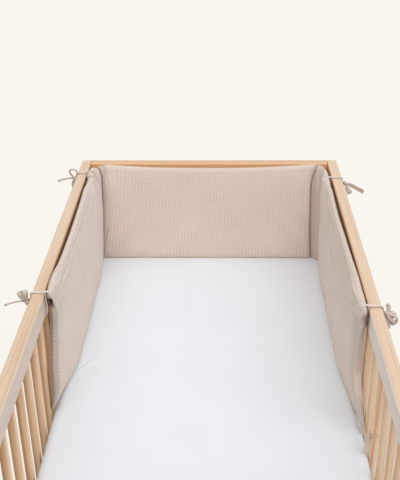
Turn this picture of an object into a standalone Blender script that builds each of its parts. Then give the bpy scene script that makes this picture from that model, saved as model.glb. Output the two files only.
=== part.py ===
"""A padded cot bumper in waffle cloth, tied round the head end of a plain wooden cot.

X runs across the cot, +Y towards its head end and +Z up. The origin is on the floor, under the
middle. Sizes are in metres.
"""

import math

import bmesh
import bpy
import numpy as np
from mathutils import Vector

GAP = 0.0003  # between pieces that touch

# The wooden cot, for a mattress of 60 by 120 cm
COT_LENGTH = 1.250
COT_WIDTH = 0.660
RAIL_TOP = 0.850
RAIL_THICK = 0.025
RAIL_HIGH = 0.044
RAIL_ROUND = 0.003
LOW_RAIL_TOP = 0.300
LEG_DEEP = 0.045
BAR_SIZE = 0.014
BAR_ROUND = 0.003
SIDE_BARS = 19
SIDE_BAR_PITCH = 0.0618
END_BARS = 9
END_BAR_PITCH = 0.0618

# The mattress in its fitted sheet, and the panel that carries it
MATTRESS_TOP = 0.595
MATTRESS_DEEP = 0.100
MATTRESS_WIDTH = 0.611
MATTRESS_LENGTH = 1.197
MATTRESS_CORNER = 0.050
MATTRESS_EDGE = 0.018
BASE_THICK = 0.012

# The bumper stands on the mattress. Its middle line is a U with a round turn at each head corner.
PAD_FOOT = MATTRESS_TOP + GAP
PAD_LINE = {  # the middle line's left, back and right, and the radius of its turn at each corner
    "foot": {"left": -0.2845, "back": 0.5650, "right": 0.2905, "turn_left": 0.010, "turn_right": 0.028},
    "head": {"left": -0.2915, "back": 0.5850, "right": 0.2915, "turn_left": 0.060, "turn_right": 0.035},
}
PAD_END = {"left": -0.035, "right": -0.065}  # where the sides stop, along Y
PAD_INNER = 0.0120  # half thickness at mid height, towards the bed
PAD_OUTER = 0.0090  # the same, towards the bars
PAD_EDGE = 0.0075  # radius of the drawn-in top edge
PAD_SOLE = 0.0060  # half width of the flat that stands on the sheet
PAD_SWELL = 0.070  # how far from an edge the full thickness is reached
PAD_RINGS = 12  # steps up each face of a section

# Height of the top edge above the rails, along the U. 0 to 1 is the left side from its end to the
# corner, 1 to 2 the back and 2 to 3 the right side from its corner to its end.
PAD_TOP = [
    {"at": 0.00, "rise": 0.004},
    {"at": 0.07, "rise": 0.012},
    {"at": 0.20, "rise": 0.006},
    {"at": 0.40, "rise": 0.002},
    {"at": 0.65, "rise": 0.004},
    {"at": 0.88, "rise": 0.009},
    {"at": 1.00, "rise": 0.004},
    {"at": 1.12, "rise": 0.001},
    {"at": 1.45, "rise": -0.004},
    {"at": 1.75, "rise": -0.003},
    {"at": 1.93, "rise": 0.003},
    {"at": 2.00, "rise": 0.006},
    {"at": 2.15, "rise": 0.004},
    {"at": 2.38, "rise": -0.002},
    {"at": 2.60, "rise": 0.003},
    {"at": 2.85, "rise": 0.008},
    {"at": 3.00, "rise": 0.005},
]

# The end edges aren't straight: the ties pull their corners along the cot ("reach") and out to the
# bars ("out"). "face" is the share of the bed side's thickness that is left at the end, "back" the
# same for the bars' side, and "taper" the length over which it thins.
PAD_END_EDGE = {
    "left": [
        {"up": 0.00, "reach": 0.038, "out": 0.0235, "face": 0.30, "back": 0.20, "taper": 0.080},
        {"up": 0.12, "reach": 0.036, "out": 0.0165, "face": 0.60, "back": 0.40, "taper": 0.060},
        {"up": 0.25, "reach": 0.037, "out": 0.0130, "face": 0.72, "back": 0.50, "taper": 0.040},
        {"up": 0.37, "reach": 0.031, "out": 0.0120, "face": 0.75, "back": 0.50, "taper": 0.030},
        {"up": 0.50, "reach": 0.012, "out": 0.0115, "face": 0.75, "back": 0.50, "taper": 0.030},
        {"up": 0.63, "reach": -0.003, "out": 0.0108, "face": 0.75, "back": 0.50, "taper": 0.030},
        {"up": 0.80, "reach": 0.000, "out": 0.0048, "face": 0.75, "back": 0.50, "taper": 0.040},
        {"up": 1.00, "reach": 0.009, "out": 0.0048, "face": 0.45, "back": 0.50, "taper": 0.050},
    ],
    "right": [
        {"up": 0.00, "reach": 0.066, "out": 0.0180, "face": 0.30, "back": 0.20, "taper": 0.080},
        {"up": 0.12, "reach": 0.060, "out": 0.0120, "face": 0.65, "back": 0.40, "taper": 0.060},
        {"up": 0.25, "reach": 0.045, "out": 0.0090, "face": 0.85, "back": 0.50, "taper": 0.040},
        {"up": 0.37, "reach": 0.014, "out": 0.0070, "face": 0.90, "back": 0.50, "taper": 0.030},
        {"up": 0.50, "reach": 0.009, "out": 0.0070, "face": 0.90, "back": 0.50, "taper": 0.030},
        {"up": 0.63, "reach": 0.015, "out": 0.0060, "face": 0.90, "back": 0.50, "taper": 0.030},
        {"up": 0.80, "reach": 0.025, "out": 0.0042, "face": 0.80, "back": 0.50, "taper": 0.045},
        {"up": 1.00, "reach": 0.035, "out": 0.0042, "face": 0.45, "back": 0.50, "taper": 0.055},
    ],
}
PAD_END_PULL = {"left": 0.130, "right": 0.160}  # length over which an end edge's shape fades out

# Folds that run up the inner face at the head corners. "past" is the distance along the band from
# the middle of the corner, "deep" a share of the inner half thickness (negative stands proud).
PAD_FOLDS = [
    {"corner": "left", "past": -0.030, "deep": -0.15, "wide": 0.018},
    {"corner": "left", "past": 0.000, "deep": 0.80, "wide": 0.009},
    {"corner": "left", "past": 0.034, "deep": -0.12, "wide": 0.020},
    {"corner": "right", "past": -0.045, "deep": -0.12, "wide": 0.018},
    {"corner": "right", "past": -0.0125, "deep": 0.75, "wide": 0.007},
    {"corner": "right", "past": 0.006, "deep": 0.20, "wide": 0.010},
    {"corner": "right", "past": 0.023, "deep": 0.35, "wide": 0.009},
]

# Ties: flat ribbons of the bumper's cloth. Each has a ring round a rail or a bar, a knot, loops and
# tails. Their shapes are (out, along, up) from the knot: out is away from the cot, along is +Y.
RIBBON_WIDE = 0.010
RING_WIDE = 0.006  # the ribbon is drawn together where it goes round the wood
RIBBON_THICK = 0.0014
KNOT_RADIUS = 0.0055
RIBBON_STEPS = 10
RING_ROUND = 0.003
STRAND_DROP = 0.010  # below a rail's top, where the ring runs on to the knot
STRAND_LAP = 1.2  # ribbon thicknesses from the wood to the middle of that strand
TIES = [
    {
        "name": "tie_head_left", "side": -1, "ring_y": 0.537, "knot": (-0.336, 0.530, 0.839),
        "loops": [{"tip": (0.0046, 0.002, 0.024), "belly": (0.0092, 0.0, 0.0)}],
        "tails": [
            {"end": (0.040, -0.004, -0.004), "bow": (0.0, 0.0, 0.003), "wide": (0.0, 0.92, -0.38)},
            {"end": (0.003, -0.005, -0.022), "bow": (0.003, 0.0, 0.0), "wide": (1.0, 0.0, 0.0)},
        ],
    },
    {
        "name": "tie_foot_left", "side": -1, "ring_y": -0.0375, "knot": (-0.336, -0.055, 0.841),
        "loops": [
            {"tip": (0.013, 0.0, 0.0215), "belly": (0.0, 0.005, 0.0)},
            {"tip": (0.002, 0.0, 0.0250), "belly": (0.0, 0.005, 0.0)},
        ],
        "tails": [
            {"end": (0.040, -0.006, -0.003), "bow": (0.0, 0.0, 0.004), "wide": (0.0, 0.85, -0.53)},
        ],
    },
    {
        "name": "tie_head_right", "side": 1, "ring_y": 0.5078, "knot": (0.336, 0.488, 0.845),
        "loops": [{"tip": (0.010, -0.020, -0.018), "belly": (0.0, 0.004, 0.002)}],
        "tails": [
            {"end": (0.0387, -0.040, -0.005), "bow": (0.0, 0.0, 0.002), "wide": (0.0, 0.3, 0.95)},
        ],
    },
    {
        "name": "tie_foot_right", "side": 1, "ring_y": -0.082, "knot": (0.336, -0.095, 0.844),
        "loops": [
            {"tip": (0.0175, -0.003, -0.018), "belly": (0.007, 0.0, 0.007)},
            {"tip": (0.004, -0.004, -0.028), "belly": (0.0, 0.004, 0.0)},
        ],
        "tails": [
            {"end": (0.004, 0.004, 0.014), "bow": (0.002, 0.0, 0.0), "wide": (1.0, 0.0, 0.0)},
        ],
    },
]
LOW_TIE = {
    "name": "tie_low_right", "side": 1, "bar": 13, "up": 0.640, "knot": (0.3040, -0.1890, 0.634),
    "tails": [
        {"end": (0.003, 0.0545, -0.026), "bow": (0.0, -0.010, -0.009), "wide": (0.0, 0.2, 0.98)},
        {"end": (0.002, -0.003, -0.033), "bow": (-0.001, 0.0, 0.0), "wide": (0.0, 1.0, 0.0)},
    ],
}

COLOURS = {  # linear colour and roughness
    "wood": ((0.560, 0.380, 0.220), 0.55),
    "sheet": ((0.800, 0.810, 0.850), 0.90),
    "board": ((0.600, 0.450, 0.290), 0.70),
    "waffle": ((0.600, 0.500, 0.420), 0.95),
}

HALF_LENGTH = COT_LENGTH / 2
HALF_WIDTH = COT_WIDTH / 2
RAIL_X = HALF_WIDTH - RAIL_THICK / 2
RAIL_Y = HALF_LENGTH - RAIL_THICK / 2
RAIL_LOW = RAIL_TOP - RAIL_HIGH


def start_scene():
    for obj in list(bpy.data.objects):
        bpy.data.objects.remove(obj, do_unlink=True)
    parts = bpy.data.collections.new("crib_bumper")
    cutters = bpy.data.collections.new("joined_shapes")
    for collection in (parts, cutters):
        bpy.context.scene.collection.children.link(collection)
    return parts, cutters


def make_material(name):
    colour, roughness = COLOURS[name]
    material = bpy.data.materials.new(name)
    material.use_nodes = True
    shader = material.node_tree.nodes["Principled BSDF"]
    shader.inputs["Base Color"].default_value = (*colour, 1.0)
    shader.inputs["Roughness"].default_value = roughness
    shader.inputs["Metallic"].default_value = 0.0
    return material


def add_object(name, mesh, collection, material):
    obj = bpy.data.objects.new(name, mesh)
    obj.data.materials.append(material)
    collection.objects.link(obj)
    return obj


def mesh_from(name, form):
    mesh = bpy.data.meshes.new(name)
    form.to_mesh(mesh)
    form.free()
    return mesh


def rounded_bar(name, low, high, rounding, steps, along=None):
    """A box between two corners. Its edges along one axis, or all of them, are rounded."""
    low, high = Vector(low), Vector(high)
    size = high - low
    form = bmesh.new()
    bmesh.ops.create_cube(form, size=1.0)
    bmesh.ops.scale(form, vec=size, verts=form.verts)
    bmesh.ops.translate(form, vec=(low + high) / 2, verts=form.verts)
    edges = [
        edge for edge in form.edges
        if along is None or abs((edge.verts[0].co - edge.verts[1].co)[along]) > size[along] / 2
    ]
    bmesh.ops.bevel(
        form, geom=edges, offset=rounding, segments=steps, profile=0.5, affect="EDGES",
        clamp_overlap=True,
    )
    mesh = mesh_from(name, form)
    mesh.shade_smooth()
    mesh.set_sharp_from_angle(angle=math.radians(35))
    return mesh


def join(obj, others, cutters, bends_back=False):
    """Unites closed meshes that overlap with obj. bends_back is for ones that may touch themselves."""
    for other in others:
        cutters.objects.link(other)
        for collection in list(other.users_collection):
            if collection is not cutters:
                collection.objects.unlink(other)
        other.hide_render = True
        other.display_type = "WIRE"
        modifier = obj.modifiers.new("join_" + other.name, "BOOLEAN")
        modifier.operation = "UNION"
        modifier.solver = "EXACT"
        modifier.use_self = bends_back
        modifier.object = other


def table(rows, key, value, at):
    """A table's column as a smooth curve through its rows, read at the places in at."""
    x = np.array([row[key] for row in rows])
    y = np.array([row[value] for row in rows])
    slope = np.gradient(y, x)
    index = np.clip(np.searchsorted(x, at, side="right") - 1, 0, len(x) - 2)
    step = x[index + 1] - x[index]
    t = (at - x[index]) / step
    return (
        (2 * t**3 - 3 * t**2 + 1) * y[index]
        + (t**3 - 2 * t**2 + t) * step * slope[index]
        + (3 * t**2 - 2 * t**3) * y[index + 1]
        + (t**3 - t**2) * step * slope[index + 1]
    )


def quarter_round(distance, radius):
    """How far a rounded edge of this radius has opened at a distance from its crest: 0 to 1."""
    left = 1 - np.clip(distance / radius, 0, 1)
    return np.sqrt(1 - left**2)


# --- the wooden cot ---


def build_cot(parts, cutters, wood):
    low_rail = LOW_RAIL_TOP - RAIL_HIGH
    leg_inside = HALF_LENGTH - LEG_DEEP
    for side, name in ((-1, "left"), (1, "right")):
        inner, outer = sorted((side * (HALF_WIDTH - RAIL_THICK), side * HALF_WIDTH))
        mesh = rounded_bar(
            "top_rail_" + name, (inner, -HALF_LENGTH, RAIL_LOW), (outer, HALF_LENGTH, RAIL_TOP),
            RAIL_ROUND, 3,
        )
        add_object("top_rail_" + name, mesh, parts, wood)
        reach = leg_inside - GAP
        mesh = rounded_bar(
            "low_rail_" + name, (inner, -reach, low_rail), (outer, reach, LOW_RAIL_TOP),
            RAIL_ROUND, 3, along=1,
        )
        add_object("low_rail_" + name, mesh, parts, wood)
        for end, end_name in ((1, "head"), (-1, "foot")):
            near, far = sorted((end * leg_inside, end * HALF_LENGTH))
            mesh = rounded_bar(
                f"leg_{end_name}_{name}", (inner, near, 0.0), (outer, far, RAIL_LOW - GAP),
                RAIL_ROUND, 2, along=2,
            )
            add_object(f"leg_{end_name}_{name}", mesh, parts, wood)
        build_side_bars(name, side, parts, wood)
    for end, end_name in ((1, "head"), (-1, "foot")):
        build_grille(end_name, end, low_rail, parts, cutters, wood)


def side_bar_y(number):
    """Bars are counted from 1 at the head end."""
    return ((SIDE_BARS + 1) / 2 - number) * SIDE_BAR_PITCH


def build_side_bars(name, side, parts, wood):
    half = BAR_SIZE / 2
    for number in range(1, SIDE_BARS + 1):
        x, y = side * RAIL_X, side_bar_y(number)
        mesh = rounded_bar(
            f"bar_{name}_{number:02d}",
            (x - half, y - half, LOW_RAIL_TOP + GAP), (x + half, y + half, RAIL_LOW - GAP),
            BAR_ROUND, 2, along=2,
        )
        add_object(f"bar_{name}_{number:02d}", mesh, parts, wood)


def build_grille(name, end, low_rail, parts, cutters, wood):
    """An end of the cot: its top rail, its low rail and its bars, glued into one."""
    near, far = sorted((end * (HALF_LENGTH - RAIL_THICK), end * HALF_LENGTH))
    reach = HALF_WIDTH - RAIL_THICK - GAP
    top = rounded_bar(
        f"{name}_grille", (-reach, near, RAIL_LOW), (reach, far, RAIL_TOP), RAIL_ROUND, 3, along=0
    )
    grille = add_object(f"{name}_grille", top, parts, wood)
    low = rounded_bar(
        f"{name}_low", (-reach, near, low_rail), (reach, far, LOW_RAIL_TOP), RAIL_ROUND, 3, along=0
    )
    joined = []
    half = BAR_SIZE / 2
    sunk = RAIL_HIGH / 2
    for number in range(END_BARS):
        x = (number - (END_BARS - 1) / 2) * END_BAR_PITCH
        y = end * RAIL_Y
        mesh = rounded_bar(
            f"{name}_bar_{number}",
            (x - half, y - half, LOW_RAIL_TOP - sunk), (x + half, y + half, RAIL_LOW + sunk),
            BAR_ROUND, 2, along=2,
        )
        joined.append(bpy.data.objects.new(f"{name}_bar_{number}", mesh))
    joined.append(bpy.data.objects.new(f"{name}_low", low))
    join(grille, joined, cutters)


# --- the mattress ---


def build_mattress(parts, sheet, board):
    x, y = MATTRESS_WIDTH / 2, MATTRESS_LENGTH / 2
    low = MATTRESS_TOP - MATTRESS_DEEP
    form = bmesh.new()
    bmesh.ops.create_cube(form, size=1.0)
    bmesh.ops.scale(form, vec=(2 * x, 2 * y, MATTRESS_DEEP), verts=form.verts)
    bmesh.ops.translate(form, vec=(0, 0, low + MATTRESS_DEEP / 2), verts=form.verts)
    upright = [e for e in form.edges if abs(e.verts[0].co.z - e.verts[1].co.z) > MATTRESS_DEEP / 2]
    bmesh.ops.bevel(
        form, geom=upright, offset=MATTRESS_CORNER, segments=6, profile=0.5, affect="EDGES"
    )
    rim = [e for e in form.edges if abs(e.verts[0].co.z - e.verts[1].co.z) < GAP]
    bmesh.ops.bevel(form, geom=rim, offset=MATTRESS_EDGE, segments=4, profile=0.5, affect="EDGES")
    mesh = mesh_from("mattress", form)
    mesh.shade_smooth()
    add_object("mattress", mesh, parts, sheet)
    inside = HALF_WIDTH - RAIL_THICK - GAP
    end = HALF_LENGTH - RAIL_THICK - GAP
    mesh = rounded_bar(
        "mattress_base", (-inside, -end, low - GAP - BASE_THICK), (inside, end, low - GAP),
        0.002, 1, along=2,
    )
    add_object("mattress_base", mesh, parts, board)


# --- the bumper ---


def pad_line(up):
    """The sizes of the middle line at a height from 0 to 1."""
    foot, head = PAD_LINE["foot"], PAD_LINE["head"]
    return [foot[key] + (head[key] - foot[key]) * up for key in foot]


def pad_points(lane, up):
    """Points of the bumper's middle surface, and which way its bed side faces, by numpy.

    lane counts the U's stretches: 0 to 1 the left side, 1 to 2 the left turn, 2 to 3 the back, 3
    to 4 the right turn and 4 to 5 the right side. up goes from 0 at the sheet to 1 at the top.
    """
    left, back, right, turn_l, turn_r = pad_line(up)
    part = np.clip(np.floor(lane), 0, 4)
    t = lane - part
    turn = t * math.pi / 2
    y_l, y_r = back - turn_l, back - turn_r
    x = np.select(
        [part == 0, part == 1, part == 2, part == 3],
        [
            left + 0 * t,
            left + turn_l - turn_l * np.cos(turn),
            left + turn_l + (right - turn_r - left - turn_l) * t,
            right - turn_r + turn_r * np.sin(turn),
        ],
        right + 0 * t,
    )
    y = np.select(
        [part == 0, part == 1, part == 2, part == 3],
        [
            PAD_END["left"] + (y_l - PAD_END["left"]) * t,
            y_l + turn_l * np.sin(turn),
            back + 0 * t,
            y_r + turn_r * np.cos(turn),
        ],
        y_r + (PAD_END["right"] - y_r) * t,
    )
    facing = np.select(
        [part == 0, part == 1, part == 2, part == 3],
        [0 * t, -turn, -math.pi / 2 + 0 * t, -math.pi / 2 - turn],
        -math.pi + 0 * t,
    )
    return x, y, np.cos(facing), np.sin(facing)


def pad_lengths():
    """Length of each of the five stretches at mid height."""
    left, back, right, turn_l, turn_r = pad_line(0.5)
    return np.array([
        back - turn_l - PAD_END["left"],
        turn_l * math.pi / 2,
        right - turn_r - left - turn_l,
        turn_r * math.pi / 2,
        back - turn_r - PAD_END["right"],
    ])


def pad_surface(along, up, face):
    """Points of the bumper's skin. along is the length from its left end, up is 0 to 1, and face
    is +1 on the bed side, -1 on the bars' side and 0 on the middle surface."""
    lengths = pad_lengths()
    starts = np.concatenate([[0], np.cumsum(lengths)])
    total = starts[-1]
    corners = {"left": starts[1] + lengths[1] / 2, "right": starts[3] + lengths[3] / 2}
    lane = np.interp(along, starts, np.arange(6))
    x, y, face_x, face_y = pad_points(lane, up)

    place = np.interp(along, [0, corners["left"], corners["right"], total], [0, 1, 2, 3])
    top = RAIL_TOP + table(PAD_TOP, "at", "rise", place)
    height = top - PAD_FOOT
    z = PAD_FOOT + height * up

    full = np.where(face > 0, PAD_INNER, PAD_OUTER)
    from_top, from_foot = (1 - up) * height, up * height
    swell_top = np.sin(math.pi / 2 * np.clip(from_top / PAD_SWELL, 0, 1))
    swell_foot = np.sin(math.pi / 2 * np.clip(from_foot / PAD_SWELL, 0, 1))
    at_top = PAD_EDGE * quarter_round(from_top, PAD_EDGE) + (full - PAD_EDGE) * swell_top
    sole = PAD_SOLE + (PAD_EDGE - PAD_SOLE) * quarter_round(from_foot, PAD_EDGE)
    at_foot = sole + (full - PAD_EDGE) * swell_foot
    half = np.minimum(at_top, at_foot)

    folds = np.zeros_like(along)
    for fold in PAD_FOLDS:
        past = (along - corners[fold["corner"]] - fold["past"]) / fold["wide"]
        folds = folds + fold["deep"] * np.exp(-(past**2))
    half = half * np.where(face > 0, 1 - folds, 1.0)

    is_left = along < total / 2
    from_end = np.where(is_left, along, total - along)
    at_end = {
        key: np.where(
            is_left,
            table(PAD_END_EDGE["left"], "up", key, up),
            table(PAD_END_EDGE["right"], "up", key, up),
        )
        for key in ("reach", "out", "face", "back", "taper")
    }
    grown = np.sin(math.pi / 2 * np.clip(from_end / at_end["taper"], 0, 1))
    kept = np.where(face > 0, at_end["face"], at_end["back"])
    half = half * (kept + (1 - kept) * grown)
    fade = np.where(is_left, PAD_END_PULL["left"], PAD_END_PULL["right"])
    pull = np.clip(1 - from_end / fade, 0, 1)
    pull = pull * pull * (3 - 2 * pull)
    shift = face * half - at_end["out"] * pull
    return np.stack(
        [x + face_x * shift, y + face_y * shift - at_end["reach"] * pull, z], axis=-1
    )


def pad_stations():
    """Places along the bumper, closer together at its ends and corners."""
    lengths = pad_lengths()
    starts = np.concatenate([[0], np.cumsum(lengths)])
    total = starts[-1]
    left = starts[1] + lengths[1] / 2
    right = starts[3] + lengths[3] / 2
    near = np.array([0.0, 0.003, 0.009, 0.018, 0.032, 0.055, 0.085, 0.115])
    bend = 0.063
    return np.concatenate([
        near,
        np.linspace(near[-1], left - bend, 11)[1:-1],
        np.linspace(left - bend, left + bend, 19),
        np.linspace(left + bend, right - bend, 11)[1:-1],
        np.linspace(right - bend, right + bend, 21),
        np.linspace(right + bend, total - near[-1], 11)[1:-1],
        total - near[::-1],
    ])


def build_bumper(parts, waffle):
    """A loft: a section of the skin at each station, joined to the next, with both ends closed."""
    rise = (1 - np.cos(np.linspace(0, math.pi, PAD_RINGS + 1))) / 2
    up = np.concatenate([rise, rise[-2::-1]])
    face = np.concatenate([np.ones(PAD_RINGS + 1), -np.ones(PAD_RINGS)])
    stations = pad_stations()
    grid = pad_surface(
        np.repeat(stations[:, None], len(up), axis=1),
        np.repeat(up[None, :], len(stations), axis=0),
        np.repeat(face[None, :], len(stations), axis=0),
    )
    form = bmesh.new()
    rings = [[form.verts.new(point) for point in ring] for ring in grid]
    count = len(up)
    for one, two in zip(rings, rings[1:]):
        for k in range(count):
            form.faces.new((one[k], two[k], two[(k + 1) % count], one[(k + 1) % count]))
    for ring in (rings[0], rings[-1]):
        for k in range(PAD_RINGS):
            corners = (ring[k], ring[k + 1], ring[count - 2 - k], ring[count - 1 - k])
            form.faces.new(list(dict.fromkeys(corners)))
    bmesh.ops.recalc_face_normals(form, faces=form.faces)
    mesh = mesh_from("bumper", form)
    mesh.shade_smooth()
    add_object("bumper", mesh, parts, waffle)


# --- the ties ---


def ribbon(name, points, wide, closed=False, width=RIBBON_WIDE):
    """A strip along the points with its width along wide, given its thickness by Solidify."""
    points = np.asarray(points, float)
    if closed:
        ahead = np.roll(points, -1, axis=0) - np.roll(points, 1, axis=0)
    else:
        ahead = np.gradient(points, axis=0)
    ahead /= np.linalg.norm(ahead, axis=1)[:, None]
    across = np.asarray(wide, float) - ahead * (ahead @ np.asarray(wide, float))[:, None]
    across *= width / 2 / np.linalg.norm(across, axis=1)[:, None]
    form = bmesh.new()
    low = [form.verts.new(point) for point in points - across]
    high = [form.verts.new(point) for point in points + across]
    count = len(points)
    for k in range(count if closed else count - 1):
        after = (k + 1) % count
        form.faces.new((low[k], low[after], high[after], high[k]))
    bmesh.ops.recalc_face_normals(form, faces=form.faces)
    obj = bpy.data.objects.new(name, mesh_from(name, form))
    solid = obj.modifiers.new("thickness", "SOLIDIFY")
    solid.thickness = RIBBON_THICK
    solid.offset = 0.0
    solid.use_even_offset = True
    return obj


def rounded_frame(centre, half_a, half_b, axis_a, axis_b):
    """A closed loop round a rail or a bar: a rectangle with rounded corners."""
    points = []
    for quarter, (a, b) in enumerate(((1, 1), (-1, 1), (-1, -1), (1, -1))):
        for angle in (0.0, math.pi / 4, math.pi / 2):
            turn = quarter * math.pi / 2 + angle
            points.append(
                np.asarray(centre)
                + (a * (half_a - RING_ROUND) + RING_ROUND * math.cos(turn)) * np.asarray(axis_a)
                + (b * (half_b - RING_ROUND) + RING_ROUND * math.sin(turn)) * np.asarray(axis_b)
            )
    return points


def loop_points(knot, tip, belly):
    """A teardrop: out to the tip and back, its two sides a belly apart."""
    t = np.linspace(0, 1, 2 * RIBBON_STEPS + 1)[:, None]
    return knot + np.sin(math.pi * t) * tip + np.sin(2 * math.pi * t) * belly


def tail_points(knot, end, bow):
    t = np.linspace(0, 1, RIBBON_STEPS + 1)[:, None]
    return knot + t * end + 4 * t * (1 - t) * bow


def build_tie(tie, ring, parts, cutters, waffle):
    name = tie["name"]
    mirror = np.array([tie["side"], 1, 1])
    knot = np.asarray(tie["knot"])
    pieces = []
    form = bmesh.new()
    bmesh.ops.create_uvsphere(form, u_segments=10, v_segments=7, radius=KNOT_RADIUS)
    bmesh.ops.translate(form, vec=Vector(knot), verts=form.verts)
    pieces.append(bpy.data.objects.new(name + "_knot", mesh_from(name + "_knot", form)))
    for number, loop in enumerate(tie.get("loops", [])):
        tip, belly = np.asarray(loop["tip"]) * mirror, np.asarray(loop["belly"]) * mirror
        points = loop_points(knot, tip, belly)
        pieces.append(ribbon(f"{name}_loop_{number}", points[:-1], np.cross(tip, belly), True))
    for number, tail in enumerate(tie["tails"]):
        end, bow = np.asarray(tail["end"]) * mirror, np.asarray(tail["bow"]) * mirror
        points = tail_points(knot, end, bow)
        pieces.append(ribbon(f"{name}_tail_{number}", points, np.asarray(tail["wide"]) * mirror))
    strand = np.asarray(tie["strand"]) - knot
    points = tail_points(knot, strand, 0 * strand)
    pieces.append(ribbon(name + "_strand", points, tie["flat"], width=RING_WIDE))
    parts.objects.link(ring)
    ring.name = name
    ring.data.materials.append(waffle)
    join(ring, pieces, cutters, bends_back=True)


def build_ties(parts, cutters, waffle):
    half_x = RAIL_THICK / 2 + GAP + RIBBON_THICK / 2
    half_z = RAIL_HIGH / 2 + GAP + RIBBON_THICK / 2
    lap = GAP + STRAND_LAP * RIBBON_THICK
    for tie in TIES:
        centre = (tie["side"] * RAIL_X, tie["ring_y"], RAIL_TOP - RAIL_HIGH / 2)
        frame = rounded_frame(centre, half_x, half_z, (1, 0, 0), (0, 0, 1))
        strand = {
            "strand": (tie["side"] * (HALF_WIDTH + lap), tie["ring_y"], RAIL_TOP - STRAND_DROP),
            "flat": (0, 0, 1),
        }
        ring = ribbon("ring", frame, (0, 1, 0), True, RING_WIDE)
        build_tie({**tie, **strand}, ring, parts, cutters, waffle)
    half = BAR_SIZE / 2 + GAP + RIBBON_THICK / 2
    centre = (LOW_TIE["side"] * RAIL_X, side_bar_y(LOW_TIE["bar"]), LOW_TIE["up"])
    frame = rounded_frame(centre, half, half, (1, 0, 0), (0, 1, 0))
    strand = {"strand": (RAIL_X - BAR_SIZE / 2 - lap, centre[1], centre[2]), "flat": (0, 1, 0)}
    ring = ribbon("ring", frame, (0, 0, 1), True, RING_WIDE)
    build_tie({**LOW_TIE, **strand}, ring, parts, cutters, waffle)


def main():
    parts, cutters = start_scene()
    wood = make_material("wood")
    waffle = make_material("waffle")
    build_cot(parts, cutters, wood)
    build_mattress(parts, make_material("sheet"), make_material("board"))
    build_bumper(parts, waffle)
    build_ties(parts, cutters, waffle)


main()
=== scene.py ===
# A padded cot bumper in waffle cloth, tied round the head end of a wooden cot: its finished look.
# X runs across the cot, +Y towards its head end and +Z up. Sizes are in metres.
import math
from functools import partial

import bpy
import numpy as np
from mathutils import Matrix


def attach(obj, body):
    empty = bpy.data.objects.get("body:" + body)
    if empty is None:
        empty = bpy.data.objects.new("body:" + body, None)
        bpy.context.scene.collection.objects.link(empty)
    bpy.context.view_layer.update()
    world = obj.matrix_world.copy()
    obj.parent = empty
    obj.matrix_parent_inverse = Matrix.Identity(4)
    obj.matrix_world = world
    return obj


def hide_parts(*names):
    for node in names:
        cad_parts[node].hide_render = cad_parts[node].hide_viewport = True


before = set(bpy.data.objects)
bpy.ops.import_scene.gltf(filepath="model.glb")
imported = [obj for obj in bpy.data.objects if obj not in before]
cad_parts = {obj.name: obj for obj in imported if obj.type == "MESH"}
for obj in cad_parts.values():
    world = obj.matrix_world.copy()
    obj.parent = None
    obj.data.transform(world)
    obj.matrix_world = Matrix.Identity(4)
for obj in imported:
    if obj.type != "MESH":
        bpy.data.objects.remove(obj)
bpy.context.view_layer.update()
print("model loaded")


# ---- helpers for settings, curves, meshes and materials ----

def table(columns, *rows):  # rows of values, each by its column's name; a row may end early
    return [dict(zip(columns.split(), row)) for row in rows]


def linearColour(hexColour):  # an sRGB hex value to linear red, green, blue and alpha
    parts = [int(hexColour[k:k + 2], 16) / 255 for k in (0, 2, 4)]
    return [c / 12.92 if c <= 0.04045 else ((c + 0.055) / 1.055) ** 2.4 for c in parts] + [1.0]


def addNode(material, kind, settings=None, inputs=(), output=0):
    # one shader node of a material or world, with its settings and links; gives the output that the
    # next node takes up
    tree = material.node_tree
    node = tree.nodes.new("ShaderNode" + kind)
    for key, value in (settings or {}).items():
        if key == "ramp":  # pairs of place and hex colour
            for extra in value[2:]:
                node.color_ramp.elements.new(extra[0])
            for element, (place, colour) in zip(node.color_ramp.elements, value):
                element.position = place
                element.color = linearColour(colour)
        else:
            setattr(node, key, value)
    for key, value in inputs.items() if isinstance(inputs, dict) else enumerate(inputs):
        if isinstance(value, bpy.types.NodeSocket):
            tree.links.new(value, node.inputs[key])
        else:
            node.inputs[key].default_value = value
    return node.outputs[output]


def newMaterial(name, constants):
    # a Principled material with the values that are the same all over, and its own addNode
    material = bpy.data.materials.new(name)
    material.use_nodes = True
    for key, value in constants.items():
        material.node_tree.nodes["Principled BSDF"].inputs[key].default_value = value
    return material, partial(addNode, material)


def finishMaterial(material, colour, height=None, strength=0.0, distance=0.0):  # its colour and its bump
    shader, links = material.node_tree.nodes["Principled BSDF"], material.node_tree.links
    links.new(colour, shader.inputs["Base Color"])
    if height:
        bump = addNode(material, "Bump", None, {"Strength": strength, "Distance": distance, "Height": height})
        links.new(bump, shader.inputs["Normal"])
    return material


def layered(add, colour, *layers):  # a colour with shares of other colours laid over it in turn
    for share, hexColour in layers:
        colour = add("Mix", {"data_type": "RGBA"}, {0: share, 6: colour, 7: linearColour(hexColour)}, 2)
    return colour


def threadWaves(add, axes, kind, pitches):  # a wave across X and one across Y, by their pitches
    for axis, pitch in zip("XY", pitches):
        turn = add("Math", {"operation": "MULTIPLY"}, (axes[axis], 2 * math.pi / pitch))
        yield add("Math", {"operation": kind}, (turn,))


def hiddenShade(add, colour, deep, reach, amount):
    # dims a colour by up to the amount where other surfaces lie close, as in gaps and folds that
    # little light gets into: fully where 15% of the view is open, not at all from 85%
    near = add("AmbientOcclusion", {"samples": 6}, {"Distance": reach}, "AO")
    return layered(add, colour, (add("MapRange", None, (near, 0.15, 0.85, amount, 0.0)), deep))


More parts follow.
